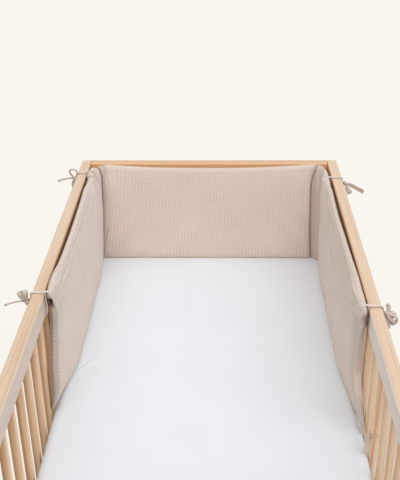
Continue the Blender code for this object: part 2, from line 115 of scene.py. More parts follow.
def gridFaces(rows, columns, closedRows=False, closedColumns=False):
    # quads between neighbours of a grid whose points are counted row by row
    r = np.arange(rows if closedRows else rows - 1)[:, None]
    c = np.arange(columns if closedColumns else columns - 1)[None, :]
    rNext, cNext = (r + 1) % rows, (c + 1) % columns
    quads = [r * columns + c, rNext * columns + c, rNext * columns + cNext, r * columns + cNext]
    return np.stack([np.broadcast_to(q, (len(r), c.shape[1])) for q in quads], -1).reshape(-1, 4)


def poleFaces(rows, around):  # triangles from a closed grid's first and last row to its two pole points
    first, last = rows * around, (rows - 1) * around
    return [(first, k, (k + 1) % around) for k in range(around)] + [
        (first + 1, last + (k + 1) % around, last + k) for k in range(around)]


def meshObject(name, points, faces, material, flatUv=None, values=None):
    # a smooth mesh from points and faces, with a UV map in metres and values kept on its points
    mesh = bpy.data.meshes.new(name)
    mesh.from_pydata(np.asarray(points, float).reshape(-1, 3).tolist(), [], faces)
    if flatUv is not None:
        corner = np.zeros(len(mesh.loops), np.int32)
        mesh.loops.foreach_get("vertex_index", corner)
        layer = mesh.uv_layers.new(name="cloth")
        layer.data.foreach_set("uv", np.asarray(flatUv, np.float32).reshape(-1, 2)[corner].ravel())
    for key, value in (values or {}).items():
        kept = mesh.attributes.new(key, "FLOAT", "POINT")
        kept.data.foreach_set("value", np.asarray(value, np.float32).ravel())
    mesh.validate()
    mesh.shade_smooth()
    mesh.materials.append(material)
    piece = bpy.data.objects.new(name, mesh)
    bpy.context.scene.collection.objects.link(piece)
    return piece


def smoothStep(value):  # 0 to 1 with soft ends
    t = np.clip(value, 0, 1)
    return t * t * (3 - 2 * t)


def within(value, start, fadeIn, end, fadeOut):  # 1 between two places, with a soft step inside each
    return smoothStep((value - start) / fadeIn) * smoothStep((end - value) / fadeOut)


def bell(distance, wide):  # 1 in the middle, falling off as a normal curve
    return np.exp(-((distance / wide) ** 2))


def softCurve(rows, key, value, at):  # a table's column as a smooth curve through its rows
    x = np.array([row[key] for row in rows])
    y = np.array([row[value] for row in rows])
    slope = np.gradient(y, x)
    k = np.clip(np.searchsorted(x, at, side="right") - 1, 0, len(x) - 2)
    step = x[k + 1] - x[k]
    t = (at - x[k]) / step
    return (
        (2 * t**3 - 3 * t**2 + 1) * y[k] + (t**3 - 2 * t**2 + t) * step * slope[k]
        + (3 * t**2 - 2 * t**3) * y[k + 1] + (t**3 - t**2) * step * slope[k + 1]
    )


def arcLength(path):  # the distance walked to each point of a path
    return np.concatenate([[0], np.cumsum(np.linalg.norm(np.diff(path, axis=0), axis=1))])


def unit(vectors):
    return vectors / np.maximum(np.linalg.norm(vectors, axis=-1, keepdims=True), 1e-9)


# ---- camera, light and floor ----

view = {
    "place": (0.0330, -1.3888, 1.6840), "yaw": 1.67, "pitch": 27.98, "roll": -0.69, "lens": 62.48,
    "sensor": 36.0, "clip": (0.05, 200.0),
    "sky": "f6f5f4", "skyStrength": 0.80, "below": 0.35, "horizon": (-0.15, 0.55),
    "lamps": table(  # "towards" is the way the light travels and "soft" its spread in degrees
        "name towards strength soft colour",
        ("topPanel", (-0.10, 0.20, -1.0), 0.56, 70, "f6f8ff"),
        ("frontPanel", (0.05, 1.0, -0.95), 0.70, 45, "f8faff"),
        ("sidePanel", (-1.0, 0.15, -0.75), 0.62, 60, "eef3ff"),
    ),
    "floor": {"half": 40.0, "level": -0.0006, "colour": "f7f4ed", "glow": 0.76, "paint": 0.24},
}


def placedObject(name, data, right, above, back, place=(0, 0, 0)):  # an object turned to three axes
    turned = np.eye(4)
    turned[:3] = np.stack([right, above, back, place], -1)
    thing = bpy.data.objects.new(name, data)
    thing.matrix_world = Matrix(turned.tolist())
    bpy.context.scene.collection.objects.link(thing)
    return thing


def makeCamera():
    yaw, pitch, roll = (math.radians(view[key]) for key in ("yaw", "pitch", "roll"))
    ahead = np.array([-math.sin(yaw) * math.cos(pitch), math.cos(yaw) * math.cos(pitch), -math.sin(pitch)])
    level = np.array([math.cos(yaw), math.sin(yaw), 0.0])
    upright = np.cross(level, ahead)
    right = math.cos(roll) * level + math.sin(roll) * upright
    above = -math.sin(roll) * level + math.cos(roll) * upright
    lens = bpy.data.cameras.new("camera")
    lens.lens, lens.sensor_width, lens.sensor_fit = view["lens"], view["sensor"], "AUTO"
    lens.clip_start, lens.clip_end = view["clip"]
    bpy.context.scene.camera = placedObject("camera", lens, right, above, -ahead, view["place"])


def makeLight():
    world = bpy.data.worlds.new("studio")
    world.use_nodes = True
    back = world.node_tree.nodes["Background"]
    back.inputs["Color"].default_value = linearColour(view["sky"])
    # dimmer under the horizon, so that undersides and gaps keep their depth
    parts = addNode(world, "SeparateXYZ", None, (addNode(world, "TexCoord", output="Generated"),), "Z")
    fade = addNode(world, "MapRange", None, (
        parts, *view["horizon"], view["below"] * view["skyStrength"], view["skyStrength"]))
    world.node_tree.links.new(fade, back.inputs["Strength"])
    bpy.context.scene.world = world
    for lamp in view["lamps"]:
        light = bpy.data.lights.new(lamp["name"], "SUN")
        light.energy, light.angle = lamp["strength"], math.radians(lamp["soft"])
        light.color = linearColour(lamp["colour"])[:3]
        away = -np.array(lamp["towards"]) / np.linalg.norm(lamp["towards"])
        side = np.cross([0.0, 1.0, 0.01], away)
        side /= np.linalg.norm(side)
        placedObject(lamp["name"], light, side, np.cross(away, side), away)


def makeFloor():
    # pale painted floor that lights itself a little, so shadows on it stay faint
    s = view["floor"]
    tone = linearColour(s["colour"])
    material = newMaterial("paleStudioFloor", {
        "Roughness": 1.0, "Specular IOR Level": 0.0, "Emission Color": tone, "Emission Strength": s["glow"],
        "Base Color": [c * s["paint"] for c in tone[:3]] + [1.0],
    })[0]
    corners = [(x * s["half"], y * s["half"], s["level"]) for x, y in ((-1, -1), (1, -1), (1, 1), (-1, 1))]
    floor = meshObject("studioFloor", corners, [(0, 1, 2, 3)], material)
    floor.visible_diffuse = False


makeCamera()
makeLight()
makeFloor()
bpy.context.scene.view_settings.view_transform = "Standard"  # the photograph's plain tones
print("camera, light and floor made")


# ---- waffle cloth ----

waffle = {
    "ridge": "e8dbce", "hollowShade": "b8a190", "fold": "947a69", "hem": "d6c6b7", "deep": "482f20",
    "hidden": "7a5f4e", "hiddenReach": 0.030, "hiddenShare": 0.30,
    "cellWide": 0.00837, "cellHigh": 0.00705,  # pitch of the waffle, counted in the photograph
    "sharp": 2.2, "plainTone": 0.80, "thread": 0.0014, "threadShare": 0.25, "bump": 0.35, "bumpHigh": 0.0005,
    "cloud": 0.060, "slub": 0.004,  # how wide its uneven patches and its thicker bits of thread are
    "uneven": (0.6, 1.4, 0.95, 1.05),  # range of both together and of the tone that they give
    "lineHalf": (0.0004, 0.0022),  # half widths of a dark line's core and of the whole
    "farOff": 0.02,  # an offset from every line that leaves it undrawn
}


def makeWaffle(name):
    # washed cotton waffle cloth, woven: dry and matt, pale raised ridges round darker hollows, whose darker
    # tone is painted shade
    s = waffle
    material, add = newMaterial(name, {
        "Roughness": 0.93, "Specular IOR Level": 0.18, "Sheen Weight": 0.12, "Sheen Roughness": 0.55,
    })
    kept = {key: add("Attribute", {"attribute_name": key}, output="Fac")
            for key in ("plainness", "crease", "hem", "lineOffset", "lineStrength")}
    axes = add("SeparateXYZ", None, (add("UVMap", {"uv_map": "cloth"}),)).node.outputs
    ridges = []  # |cos| is 1 on each line of the waffle
    for wave in threadWaves(add, axes, "COSINE", (2 * s["cellWide"], 2 * s["cellHigh"])):
        size = add("Math", {"operation": "ABSOLUTE"}, (wave,))
        ridges.append(add("Math", {"operation": "POWER"}, (size, s["sharp"])))
    crossing = add("Math", {"operation": "MAXIMUM"}, ridges)
    raised = add("Mix", {"data_type": "FLOAT"}, {0: kept["plainness"], 2: crossing, 3: s["plainTone"]})
    # painted shade: the hollows between the ridges take the darker tone
    cloth = layered(add, linearColour(s["hollowShade"]), (raised, s["ridge"]))
    place = add("TexCoord", output="Object")
    noises = [add("TexNoise", None, {"Vector": place, "Scale": 1 / s[key], "Detail": detail})
              for key, detail in (("cloud", 2.0), ("slub", 3.0))]
    uneven = add("Math", {"operation": "ADD"}, noises)
    tone = add("VectorMath", {"operation": "SCALE"}, {
        0: cloth, 3: add("MapRange", None, (uneven, *s["uneven"]))})
    # thin dark lines of seams and of the deepest creases, drawn from the distance to each line; in the
    # creases, and in and round the left end's hollow, this dark is painted shade
    away = add("Math", {"operation": "ABSOLUTE"}, (kept["lineOffset"],))
    pulse = add("MapRange", {"interpolation_type": "SMOOTHSTEP"}, (away, *s["lineHalf"], 1.0, 0.0))
    drawn = add("Math", {"operation": "MULTIPLY"}, (pulse, kept["lineStrength"]))
    # painted shade: the fold tone over creases, end faces, pulls, stitches and ties, the crest's tone along
    # the top edge, and the drawn lines' dark, which on seams is their own dark line
    tone = layered(add, tone, (kept["crease"], s["fold"]), (kept["hem"], s["hem"]), (drawn, s["deep"]))
    tone = hiddenShade(add, tone, s["hidden"], s["hiddenReach"], s["hiddenShare"])
    # threads, drawn at 1.4 mm where the real ones are about 0.4 mm and too fine to show
    woven = add("Math", {"operation": "MULTIPLY"}, tuple(threadWaves(add, axes, "SINE", [s["thread"]] * 2)))
    grid = add("Math", {"operation": "MULTIPLY_ADD"}, (woven, s["threadShare"], crossing))
    return finishMaterial(material, tone, grid, s["bump"], s["bumpHigh"])


# ---- the bumper ----

bumper = {
    "foot": 0.5953, "railTop": 0.850,
    "skinHigh": 0.2587,  # the bed side's height along the cloth, which distances down from its top use
    "line": {  # the middle line's left, back and right, and the radius of its turn at each corner
        "foot": {"left": -0.2845, "back": 0.5650, "right": 0.2905, "turnLeft": 0.010, "turnRight": 0.028},
        "head": {"left": -0.2915, "back": 0.5850, "right": 0.2915, "turnLeft": 0.060, "turnRight": 0.035},
    },
    "end": {"left": -0.035, "right": -0.065},
    # half thickness on the bed side, on the other side, at the rounded edges and at the sole, and the
    # height over which it swells
    "inner": 0.0120, "outer": 0.0090, "edge": 0.0075, "sole": 0.0060, "swell": 0.070,
    "cellsAlong": 215, "cellsUp": 38, "perCell": 3, "outerRows": 16, "capRows": 7,
    "relief": 0.0008, "plainTop": 0.012, "slowHigh": 0.0006,
    "stitchLine": 0.0085, "stitchWide": 0.0018, "stitchDeep": 0.0004, "stitchShade": 0.10,
    # the first two: painted shade along the crest, which takes back light that falls on it from above, its
    # width and share
    "crestShadeWide": 0.007, "crestShadeShare": 0.80, "crestFade": 0.006, "soleFade": 0.004,
    "calm": {"share": 0.80, "back": -0.18, "right": 0.08, "ends": 0.014},  # how little waffle shows
    # both ends: their face's bulge, width on the cloth, plainness, and painted shade: a share of it all over,
    # more towards the bars, and a darker line at the tuck's height
    "capBulge": 0.0045, "capWide": 0.0209,
    "endFace": {"left": {"plain": 0.45, "shadeShare": 0.20, "moreShadeByBars": 0.72, "dark": 0.95},
                "right": {"plain": 0.85, "shadeShare": 0.08, "moreShadeByBars": 0.20, "dark": 0.3}},
    "tuck": {"up": 0.852, "high": 0.044, "deep": 0.020},  # a hollow in the left end, under its tie
    # between their ties the sides' top edges lean to the rails, over these parts of the band
    "lean": 0.0030, "leanParts": ((0.06, 0.10, 0.86, 0.06), (2.16, 0.05, 2.92, 0.10)), "leanUp": 0.70,
    # lengthwise pulls under the sides' top edges: pitch, parts of the band, how high they are and how dark
    # the painted shade in their troughs is, how far down they go, and how much more of all this the right
    # side has
    "pulls": {"pitch": 0.0135, "parts": ((0, 0.12, 0.95, 0.25), (2.12, 0.2, 3, 0.12)), "high": 0.0021,
              "dark": 0.15, "down": 0.075, "moreHigh": 0.0005, "moreDark": 0.07, "moreDown": 0.03},
    # how the band shifts along X beside a corner: not at all above "gone", and fully from "fade"
    # under that; "inner" is more of it on the bed side, which thins the pad
    "shoves": table(
        "from past wide shift inner gone fade",
        ("cornerLeft", 0, 0.06, -0.009, 0, 0.75, 0.75),
        ("cornerRight", 0.048, 0.05, 0.0042, 0.0034, 0.8, 0.25),
    ),
    # how the left corner's top is bunched up, and out to the rail, at its tie, from "bunchUp" on
    "bunchUp": 0.80,
    "bunches": table(
        "past wide out rise",
        (-0.034, 0.012, 0.005, 0.005), (-0.019, 0.0065, 0.002, 0.0085), (-0.004, 0.005, 0, 0.0045),
        (0.01, 0.008, 0, 0.004), (-0.052, 0.006, -0.002, -0.004),
    ),
    # height of the top edge above the rails: 0 to 1 left side, 1 to 2 back, 2 to 3 right side
    "top": table(
        "at rise",
        (0, 0.004), (0.07, 0.012), (0.2, 0.006), (0.4, 0.002), (0.65, 0.004), (0.88, 0.009), (1, 0.004),
        (1.12, -0.001), (1.45, -0.0055), (1.75, -0.003), (1.93, 0.003), (2, 0.006), (2.15, 0.004),
        (2.38, -0.002), (2.6, 0.003), (2.85, 0.008), (3, 0.005),
    ),
    "pull": {"left": 0.130, "right": 0.160},
    # by height, how far each end's edge is pulled along the cot and out to the bars, the shares of
    # thickness that its bed side and its other side keep, and the length over which they grow
    "endEdge": {
        "left": table(
            "up reach out face back taper",
            (0, 0.038, 0.0235, 0.3, 0.2, 0.08), (0.12, 0.036, 0.0165, 0.6, 0.4, 0.06),
            (0.25, 0.037, 0.013, 0.72, 0.5, 0.04), (0.37, 0.031, 0.012, 0.75, 0.5, 0.03),
            (0.5, 0.012, 0.0115, 0.75, 0.5, 0.03), (0.63, -0.003, 0.0108, 0.75, 0.5, 0.03),
            (0.8, 0, 0.0048, 0.75, 0.5, 0.04), (1, 0.009, 0.0048, 0.45, 0.5, 0.05),
        ),
        "right": table(
            "up reach out face back taper",
            (0, 0.068, 0.0185, 0.15, 0.2, 0.12), (0.12, 0.061, 0.015, 0.4, 0.4, 0.11),
            (0.25, 0.045, 0.0095, 0.8, 0.5, 0.05), (0.37, 0.014, 0.007, 0.9, 0.5, 0.03),
            (0.5, 0.009, 0.007, 0.9, 0.5, 0.03), (0.63, 0.015, 0.006, 0.9, 0.5, 0.03),
            (0.8, 0.025, 0.0042, 0.8, 0.5, 0.045), (1, 0.035, 0.0042, 0.45, 0.5, 0.055),
        ),
    },
    # share of the inner half thickness that a fold takes away at the head corners
    "cornerFolds": table(
        "from past deep wide",
        ("cornerLeft", -0.03, -0.15, 0.018), ("cornerLeft", 0, 0.8, 0.009),
        ("cornerLeft", 0.034, -0.12, 0.02), ("cornerRight", -0.045, -0.12, 0.018),
        ("cornerRight", -0.0125, 0.75, 0.007), ("cornerRight", 0.006, 0.2, 0.01),
        ("cornerRight", 0.023, 0.35, 0.009),
    ),
    # creases down the bed side: "from" is a corner or an end and "path" the distances past it, from the top
    # down; "dark" is painted shade over the crease and "line" a thin dark line along it, which is painted
    # shade in a crease and a seam's dark line where a row lies on an end's seam; "lip" raises the cloth
    # "side" further along the band and "dip" sinks it as far back; the crease shows between the heights "low"
    # and "high"
    "creaseFade": 0.08, "lineReach": 0.0048,
    "creases": table(
        "from line deep wide dark lip dip side low high path",
        ("cornerLeft", 0.54, 0.003, 0.0026, 0.4, 0.0014, -0.0012, 0.01, -0.2, 1.2,
         ((1, -0.007), (0.93, -0.001), (0.8, 0.0005), (0.5, 0), (0.2, -0.003), (0, -0.007))),
        ("cornerLeft", 0.27, 0.0022, 0.003, 0.22, 0, 0, 0.008, 0.86, 1.2,
         ((1, -0.027), (0.92, -0.022), (0.84, -0.014))),
        ("cornerLeft", 0, 0.0014, 0.0026, 0.2, 0, 0, 0.008, 0.88, 1.2,
         ((1, 0.004), (0.95, 0.005), (0.86, 0.003))),
        ("cornerLeft", 0.37, 0.0018, 0.004, 0.35, 0, 0, 0.008, 0.92, 1.2,
         ((1, -0.047), (0.9, -0.045), (0.8, -0.042))),
        ("cornerLeft", 0, 0.0008, 0.005, 0.12, 0.0004, 0, 0.01, 0.05, 0.7,
         ((1, 0.012), (0.6, 0.016), (0, 0.02))),
        ("cornerRight", 0.49, 0.0028, 0.0026, 0.35, -0.0008, -0.001, 0.009, -0.2, 1.2,
         ((1, -0.0055), (0.93, -0.0105), (0.86, -0.0155), (0.75, -0.018), (0.5, -0.0185), (0, -0.015))),
        ("cornerRight", 0, 0.0022, 0.013, 0.2, 0, 0, 0.01, -0.2, 0.99,
         ((1, 0.03), (0.93, 0.022), (0.84, 0.013), (0.7, 0.007), (0.5, 0.006), (0, 0.009))),
        ("cornerRight", 0.34, 0.002, 0.0034, 0.2, 0.003, 0.0022, 0.011, -0.2, 0.99,
         ((1, 0.064), (0.93, 0.052), (0.84, 0.043), (0.7, 0.037), (0.5, 0.035), (0, 0.038))),
        ("cornerRight", 0, 0.0008, 0.004, 0.1, 0, 0, 0.01, 0.02, 0.45,
         ((1, -0.026), (0.5, -0.03), (0, -0.028))),
        ("endLeft", 0.58, 0.0009, 0.0026, 0.15, 0.001, 0, 0.007, 0.06, 0.94,
         ((1, 0.002), (0, 0.002))),
        ("endLeft", 0.12, 0.0005, 0.0026, 0.05, 0, 0, 0.007, 0.1, 0.8,
         ((1, 0.012), (0, 0.013))),
        ("endRight", 0.34, 0.0009, 0.0026, 0.15, 0, 0.001, 0.007, 0.06, 0.94,
         ((1, 0.002), (0, 0.002))),
        ("endRight", 0.26, 0.0006, 0.0026, 0.06, 0, 0.0006, 0.006, 0.1, 0.88,
         ((1, 0.02), (0.5, 0.021), (0, 0.022))),
        ("endRight", 0.15, 0.0005, 0.003, 0.04, 0, 0, 0.006, 0.2, 0.85,
         ((1, 0.03), (0.5, 0.032), (0, 0.034))),
        ("endRight", 0.37, 0.0006, 0.0026, 0.08, 0, 0.0008, 0.006, 0.1, 0.88,
         ((1, 0.01), (0.5, 0.011), (0, 0.011))),
    ),
    # gathers that run from a tie: "from" and "past" place the tie, "turn" is the angle from straight
    # down towards the bumper's right end, "start" and "long" its reach, "high" and "wide" its size
    "gathers": table(
        "from past turn start long high wide",
        ("cornerRight", 0.06, -48, 0.006, 0.075, 0.0022, 0.005),
        ("cornerRight", 0.06, -20, 0.006, 0.09, 0.0018, 0.0055),
        ("cornerRight", 0.06, 8, 0.006, 0.08, 0.0016, 0.0055),
        ("cornerRight", 0.06, 38, 0.006, 0.12, 0.002, 0.006),
        ("cornerRight", 0.06, 68, 0.008, 0.17, 0.0018, 0.006),
        ("cornerLeft", -0.045, 45, 0.005, 0.06, 0.0018, 0.005),
        ("cornerLeft", -0.045, 10, 0.005, 0.08, 0.0014, 0.006),
        ("cornerLeft", -0.045, -35, 0.006, 0.11, 0.0016, 0.006),
        ("cornerLeft", -0.045, -68, 0.008, 0.15, 0.0016, 0.006),
        ("endRight", 0.012, -80, 0.006, 0.12, 0.0016, 0.005),
        ("endRight", 0.012, -60, 0.006, 0.13, 0.0018, 0.0055),
        ("endRight", 0.012, -40, 0.006, 0.12, 0.0018, 0.0055),
        ("endRight", 0.012, -20, 0.006, 0.1, 0.0014, 0.005),
        ("endLeft", 0.006, 72, 0.006, 0.13, 0.0009, 0.0055),
        ("endLeft", 0.006, 48, 0.006, 0.12, 0.0008, 0.0055),
        ("endLeft", 0.006, 26, 0.006, 0.1, 0.0007, 0.005),
    ),
    # ties towards which the cloth's lines are drawn: the share by which they come closer
    "pinchFade": 0.03,
    "pinches": table(
        "from past share wide high",
        ("endRight", 0.004, 0.62, 0.1, 0.085), ("endLeft", 0.004, 0.5, 0.09, 0.07),
        ("cornerRight", 0.062, 0.55, 0.055, 0.07), ("cornerLeft", -0.045, 0.45, 0.06, 0.06),
    ),
    # how the lines of the waffle lean near a tie or corner: their top moves back by half the shift
    # and their foot on by the other half, by less near an end and on the other side
    "leanFade": 0.02, "leanOther": 0.3,
    "leans": table(
        "from past wide shift",
        ("cornerLeft", 0.03, 0.04, 0.014), ("cornerRight", -0.035, 0.035, -0.008),
        ("endRight", 0.05, 0.05, 0.01), ("endLeft", 0.05, 0.05, 0.008),
    ),
}


def lineAt(up):  # the sizes of the middle line at a height from 0 to 1
    foot, head = bumper["line"]["foot"], bumper["line"]["head"]
    return [foot[key] + (head[key] - foot[key]) * up for key in foot]


def stretchLengths():  # left side, left turn, back, right turn and right side, at mid height
    left, back, right, turnL, turnR = lineAt(0.5)
    return np.array([
        back - turnL - bumper["end"]["left"], turnL * math.pi / 2, right - turnR - left - turnL,
        turnR * math.pi / 2, back - turnR - bumper["end"]["right"],
    ])


stretches = stretchLengths()
starts = np.concatenate([[0], np.cumsum(stretches)])
bandLength = starts[-1]
marks = {  # places along the band that folds are measured from, and which way "past" counts
    "cornerLeft": (starts[1] + stretches[1] / 2, 1), "cornerRight": (starts[3] + stretches[3] / 2, 1),
    "endLeft": (0.0, 1), "endRight": (bandLength, -1),
}


def pastMark(row, along):  # distance along the band past the place that a row of a table names
    place, sign = marks[row["from"]]
    return along - (place + sign * row["past"])


def bandPart(along):  # 0 to 1 left side, 1 to 2 back, 2 to 3 right side
    return np.interp(along, [0, marks["cornerLeft"][0], marks["cornerRight"][0], bandLength], [0, 1, 2, 3])


def fromEnds(along):  # distance along the band from its nearer end
    return np.minimum(along, bandLength - along)


def middleSurface(lane, up):
    # straight sides and back joined by quarter circles; also gives the way that the bed side faces
    left, back, right, turnL, turnR = lineAt(up)
    part = np.clip(np.floor(lane), 0, 4)
    t = lane - part
    turn = t * math.pi / 2
    yL, yR = back - turnL, back - turnR
    cases = [part == 0, part == 1, part == 2, part == 3]
    x = np.select(cases, [
        left + 0 * t, left + turnL - turnL * np.cos(turn),
        left + turnL + (right - turnR - left - turnL) * t, right - turnR + turnR * np.sin(turn),
    ], right + 0 * t)
    y = np.select(cases, [
        bumper["end"]["left"] + (yL - bumper["end"]["left"]) * t, yL + turnL * np.sin(turn),
        back + 0 * t, yR + turnR * np.cos(turn),
    ], yR + (bumper["end"]["right"] - yR) * t)
    facing = np.select(cases, [0 * t, -turn, -math.pi / 2 + 0 * t, -math.pi / 2 - turn], -math.pi + 0 * t)
    return x, y, np.cos(facing), np.sin(facing)


def quarterRound(distance, radius):  # how far a rounded edge has opened at a distance from its crest
    return np.sqrt(1 - (1 - np.clip(distance / radius, 0, 1)) ** 2)


def quarterSine(distance, reach):  # 0 to 1 over the reach, rising as a quarter of a sine wave
    return np.sin(math.pi / 2 * np.clip(distance / reach, 0, 1))


def paddedSkin(along, up, face):
    # the middle surface moved along its facing by a half thickness: a rounded edge at the top, a flat
    # sole at the foot and a sine swell between, less at folds and ends, whose edges the ties pull
    s = bumper
    place = bandPart(along)
    x, y, faceX, faceY = middleSurface(np.interp(along, starts, np.arange(6)), up)
    height = s["railTop"] + softCurve(s["top"], "at", "rise", place) - s["foot"]
    edge, sole = s["edge"], s["sole"]
    more = np.where(face > 0, s["inner"], s["outer"]) - edge
    fromTop, fromFoot = (1 - up) * height, up * height
    half = np.minimum(
        edge * quarterRound(fromTop, edge) + more * quarterSine(fromTop, s["swell"]),
        sole + (edge - sole) * quarterRound(fromFoot, edge) + more * quarterSine(fromFoot, s["swell"]))
    folds = sum(row["deep"] * bell(pastMark(row, along), row["wide"]) for row in s["cornerFolds"])
    half = half * np.where(face > 0, 1 - folds, 1.0)
    isLeft = along < bandLength / 2
    reach, out, faceShare, backShare, taper = (
        np.where(isLeft, *(softCurve(s["endEdge"][side], "up", key, up) for side in ("left", "right")))
        for key in ("reach", "out", "face", "back", "taper"))
    kept = np.where(face > 0, faceShare, backShare)
    half = half * (kept + (1 - kept) * quarterSine(fromEnds(along), taper))
    pull = smoothStep(1 - fromEnds(along) / np.where(isLeft, s["pull"]["left"], s["pull"]["right"]))
    leaning = sum(within(place, *part) for part in s["leanParts"])
    leaning = leaning * smoothStep((up - s["leanUp"]) / 0.30)
    shift = face * half - out * pull - s["lean"] * leaning
    return np.stack([x + faceX * shift, y + faceY * shift - reach * pull, s["foot"] + height * up], axis=-1)


def evenRows(face, count):  # heights from foot to top that lie evenly along a section's curve
    up = 1 - np.linspace(1, 0, 4000) ** 2
    curve = paddedSkin(np.full_like(up, (starts[2] + starts[3]) / 2), up, np.full_like(up, face))
    length = arcLength(curve)
    return np.interp(np.linspace(0, length[-1], count), length, up), length[-1]


def surfaceDetail(along, up):
    # heights above the padded skin on the bed side: soft creases as bell curves across a leaning
    # line, gathers as ridges along rays from the ties, and a slow unevenness of the filling
    s = bumper
    down = (1 - up) * s["skinHigh"]
    raised, crease, lineStrength = (np.zeros_like(along) for _ in range(3))
    lineOffset = np.full_like(along, waffle["farOff"])
    for row in s["creases"]:
        start, sign = marks[row["from"]]
        past = softCurve(table("up past", *row["path"][::-1]), "up", "past", up)
        offset = along - start - sign * past
        shape, side = bell(offset, row["wide"]), row["side"]
        window = smoothStep((up - row["low"]) / s["creaseFade"] + 0.5)
        window = window * smoothStep((row["high"] - up) / s["creaseFade"] + 0.5)
        raised -= row["deep"] * shape * window
        raised += row["lip"] * bell(offset - side, 0.75 * side) * window
        raised -= row["dip"] * bell(offset + side, 0.75 * side) * window
        # painted shade over the crease
        crease = np.maximum(crease, row["dark"] * shape * window)
        nearer = (np.abs(offset) < s["lineReach"]) & (row["line"] > 0)
        lineOffset = np.where(nearer, offset, lineOffset)
        lineStrength = np.where(nearer, row["line"] * window, lineStrength)
    for row in s["gathers"]:
        turn, dx = math.radians(row["turn"]), pastMark(row, along)
        forward = dx * math.sin(turn) + down * math.cos(turn)
        sideways = dx * math.cos(turn) - down * math.sin(turn)
        spread = row["wide"] * (0.6 + 0.9 * np.clip(forward / row["long"], 0, 1))
        window = smoothStep(forward / row["start"] / 2)
        window = window * smoothStep((row["long"] - forward) / row["long"] * 1.6)
        raised += row["high"] * bell(sideways, spread) * window
        raised -= 0.45 * row["high"] * bell(np.abs(sideways) - 1.9 * spread, spread) * window
    slow = (
        np.sin(along * 31 + 2.1 * up) * np.sin(up * 5.1 + 0.6) + 0.6 * np.sin(along * 57 + 1.3 - 3.0 * up)
        + 0.5 * np.sin(along * 83 - 2.2 * up + 0.8) * np.cos(up * 7.3)
    )
    raised += s["slowHigh"] * slow * smoothStep(down / 0.03)
    # soft lengthwise pulls under the top edge of both sides, wavering and of uneven strength, with painted
    # shade in their troughs
    drawn, place = s["pulls"], bandPart(along)
    right = place > 1.5
    pulls = np.sin(down * 2 * math.pi / drawn["pitch"] + 1.6 * np.sin(along * 6.0) + 4.0 * along
                   + 1.1 * np.sin(down * 190 - along * 9.0))
    uneven = np.sin(along * 17.0 + down * 95.0 + 1.0) * np.sin(along * 7.3 - down * 60.0)
    pulls = pulls * (0.55 + 0.45 * uneven)
    window = sum(within(place, *part) for part in drawn["parts"]) * smoothStep(down / 0.012)
    window = window * smoothStep((drawn["down"] + drawn["moreDown"] * right - down) / 0.04)
    raised += (drawn["high"] + drawn["moreHigh"] * right) * pulls * window
    dark = (drawn["dark"] + drawn["moreDark"] * right) * smoothStep(-pulls - 0.1) * window
    return raised, np.maximum(crease, dark), lineOffset, lineStrength


def drawnTogether(line, up, onBed):
    # where each point of the grid lies on the band: the waffle's lines, and the mesh with them, lean
    # at ties and corners and run together at ties
    s = bumper
    along = line.copy()
    for row in s["leans"]:
        fade = smoothStep(fromEnds(line) / s["leanFade"])
        along += (row["shift"] * bell(pastMark(row, line), row["wide"]) * fade
                  * (0.5 - up) * np.where(onBed, 1, s["leanOther"]))
    for row in s["pinches"]:
        dx, down = pastMark(row, along), (1 - up) * (s["railTop"] - s["foot"])
        pinch = row["share"] * np.exp(-((dx / row["wide"]) ** 2 + (down / row["high"]) ** 2))
        along = along - dx * pinch * smoothStep(fromEnds(line) / s["pinchFade"])
        up = 1 - (1 - up) * (1 - pinch)
    return np.clip(along, 0, bandLength), up


def shovedSkin(along, up, face):  # the padded skin with the shifts beside both corners
    skin = paddedSkin(along, up, face)
    for row in bumper["shoves"]:
        near = bell(pastMark(row, along), row["wide"])
        skin[:, :, 0] += near * row["shift"] * smoothStep((row["gone"] - up) / row["fade"])
        skin[:, :, 0] += near * row["inner"] * (face > 0) * smoothStep((0.97 - up) / 0.10)
    atTop = smoothStep((up - bumper["bunchUp"]) / 0.18)
    for row in bumper["bunches"]:
        bunch = bell(along - marks["cornerLeft"][0] - row["past"], row["wide"]) * atTop
        skin[:, :, 0] -= row["out"] * bunch
        skin[:, :, 2] += row["rise"] * bunch
    return skin


def skinNormals(skin, middle, opposite):  # outwards, and level along the cot at both ends
    upward = np.roll(skin, -1, axis=1) - np.roll(skin, 1, axis=1)
    normal = unit(np.cross(upward, np.gradient(skin, axis=0)))
    through = skin[:, middle] - skin[:, opposite]
    if np.einsum("ij,ij->i", through, normal[:, middle]).mean() < 0:
        normal = -normal
    normal[:, 0], normal[:, -1] = normal[:, 1] * [1, 1, 0], normal[:, -2] * [1, 1, 0]
    return normal


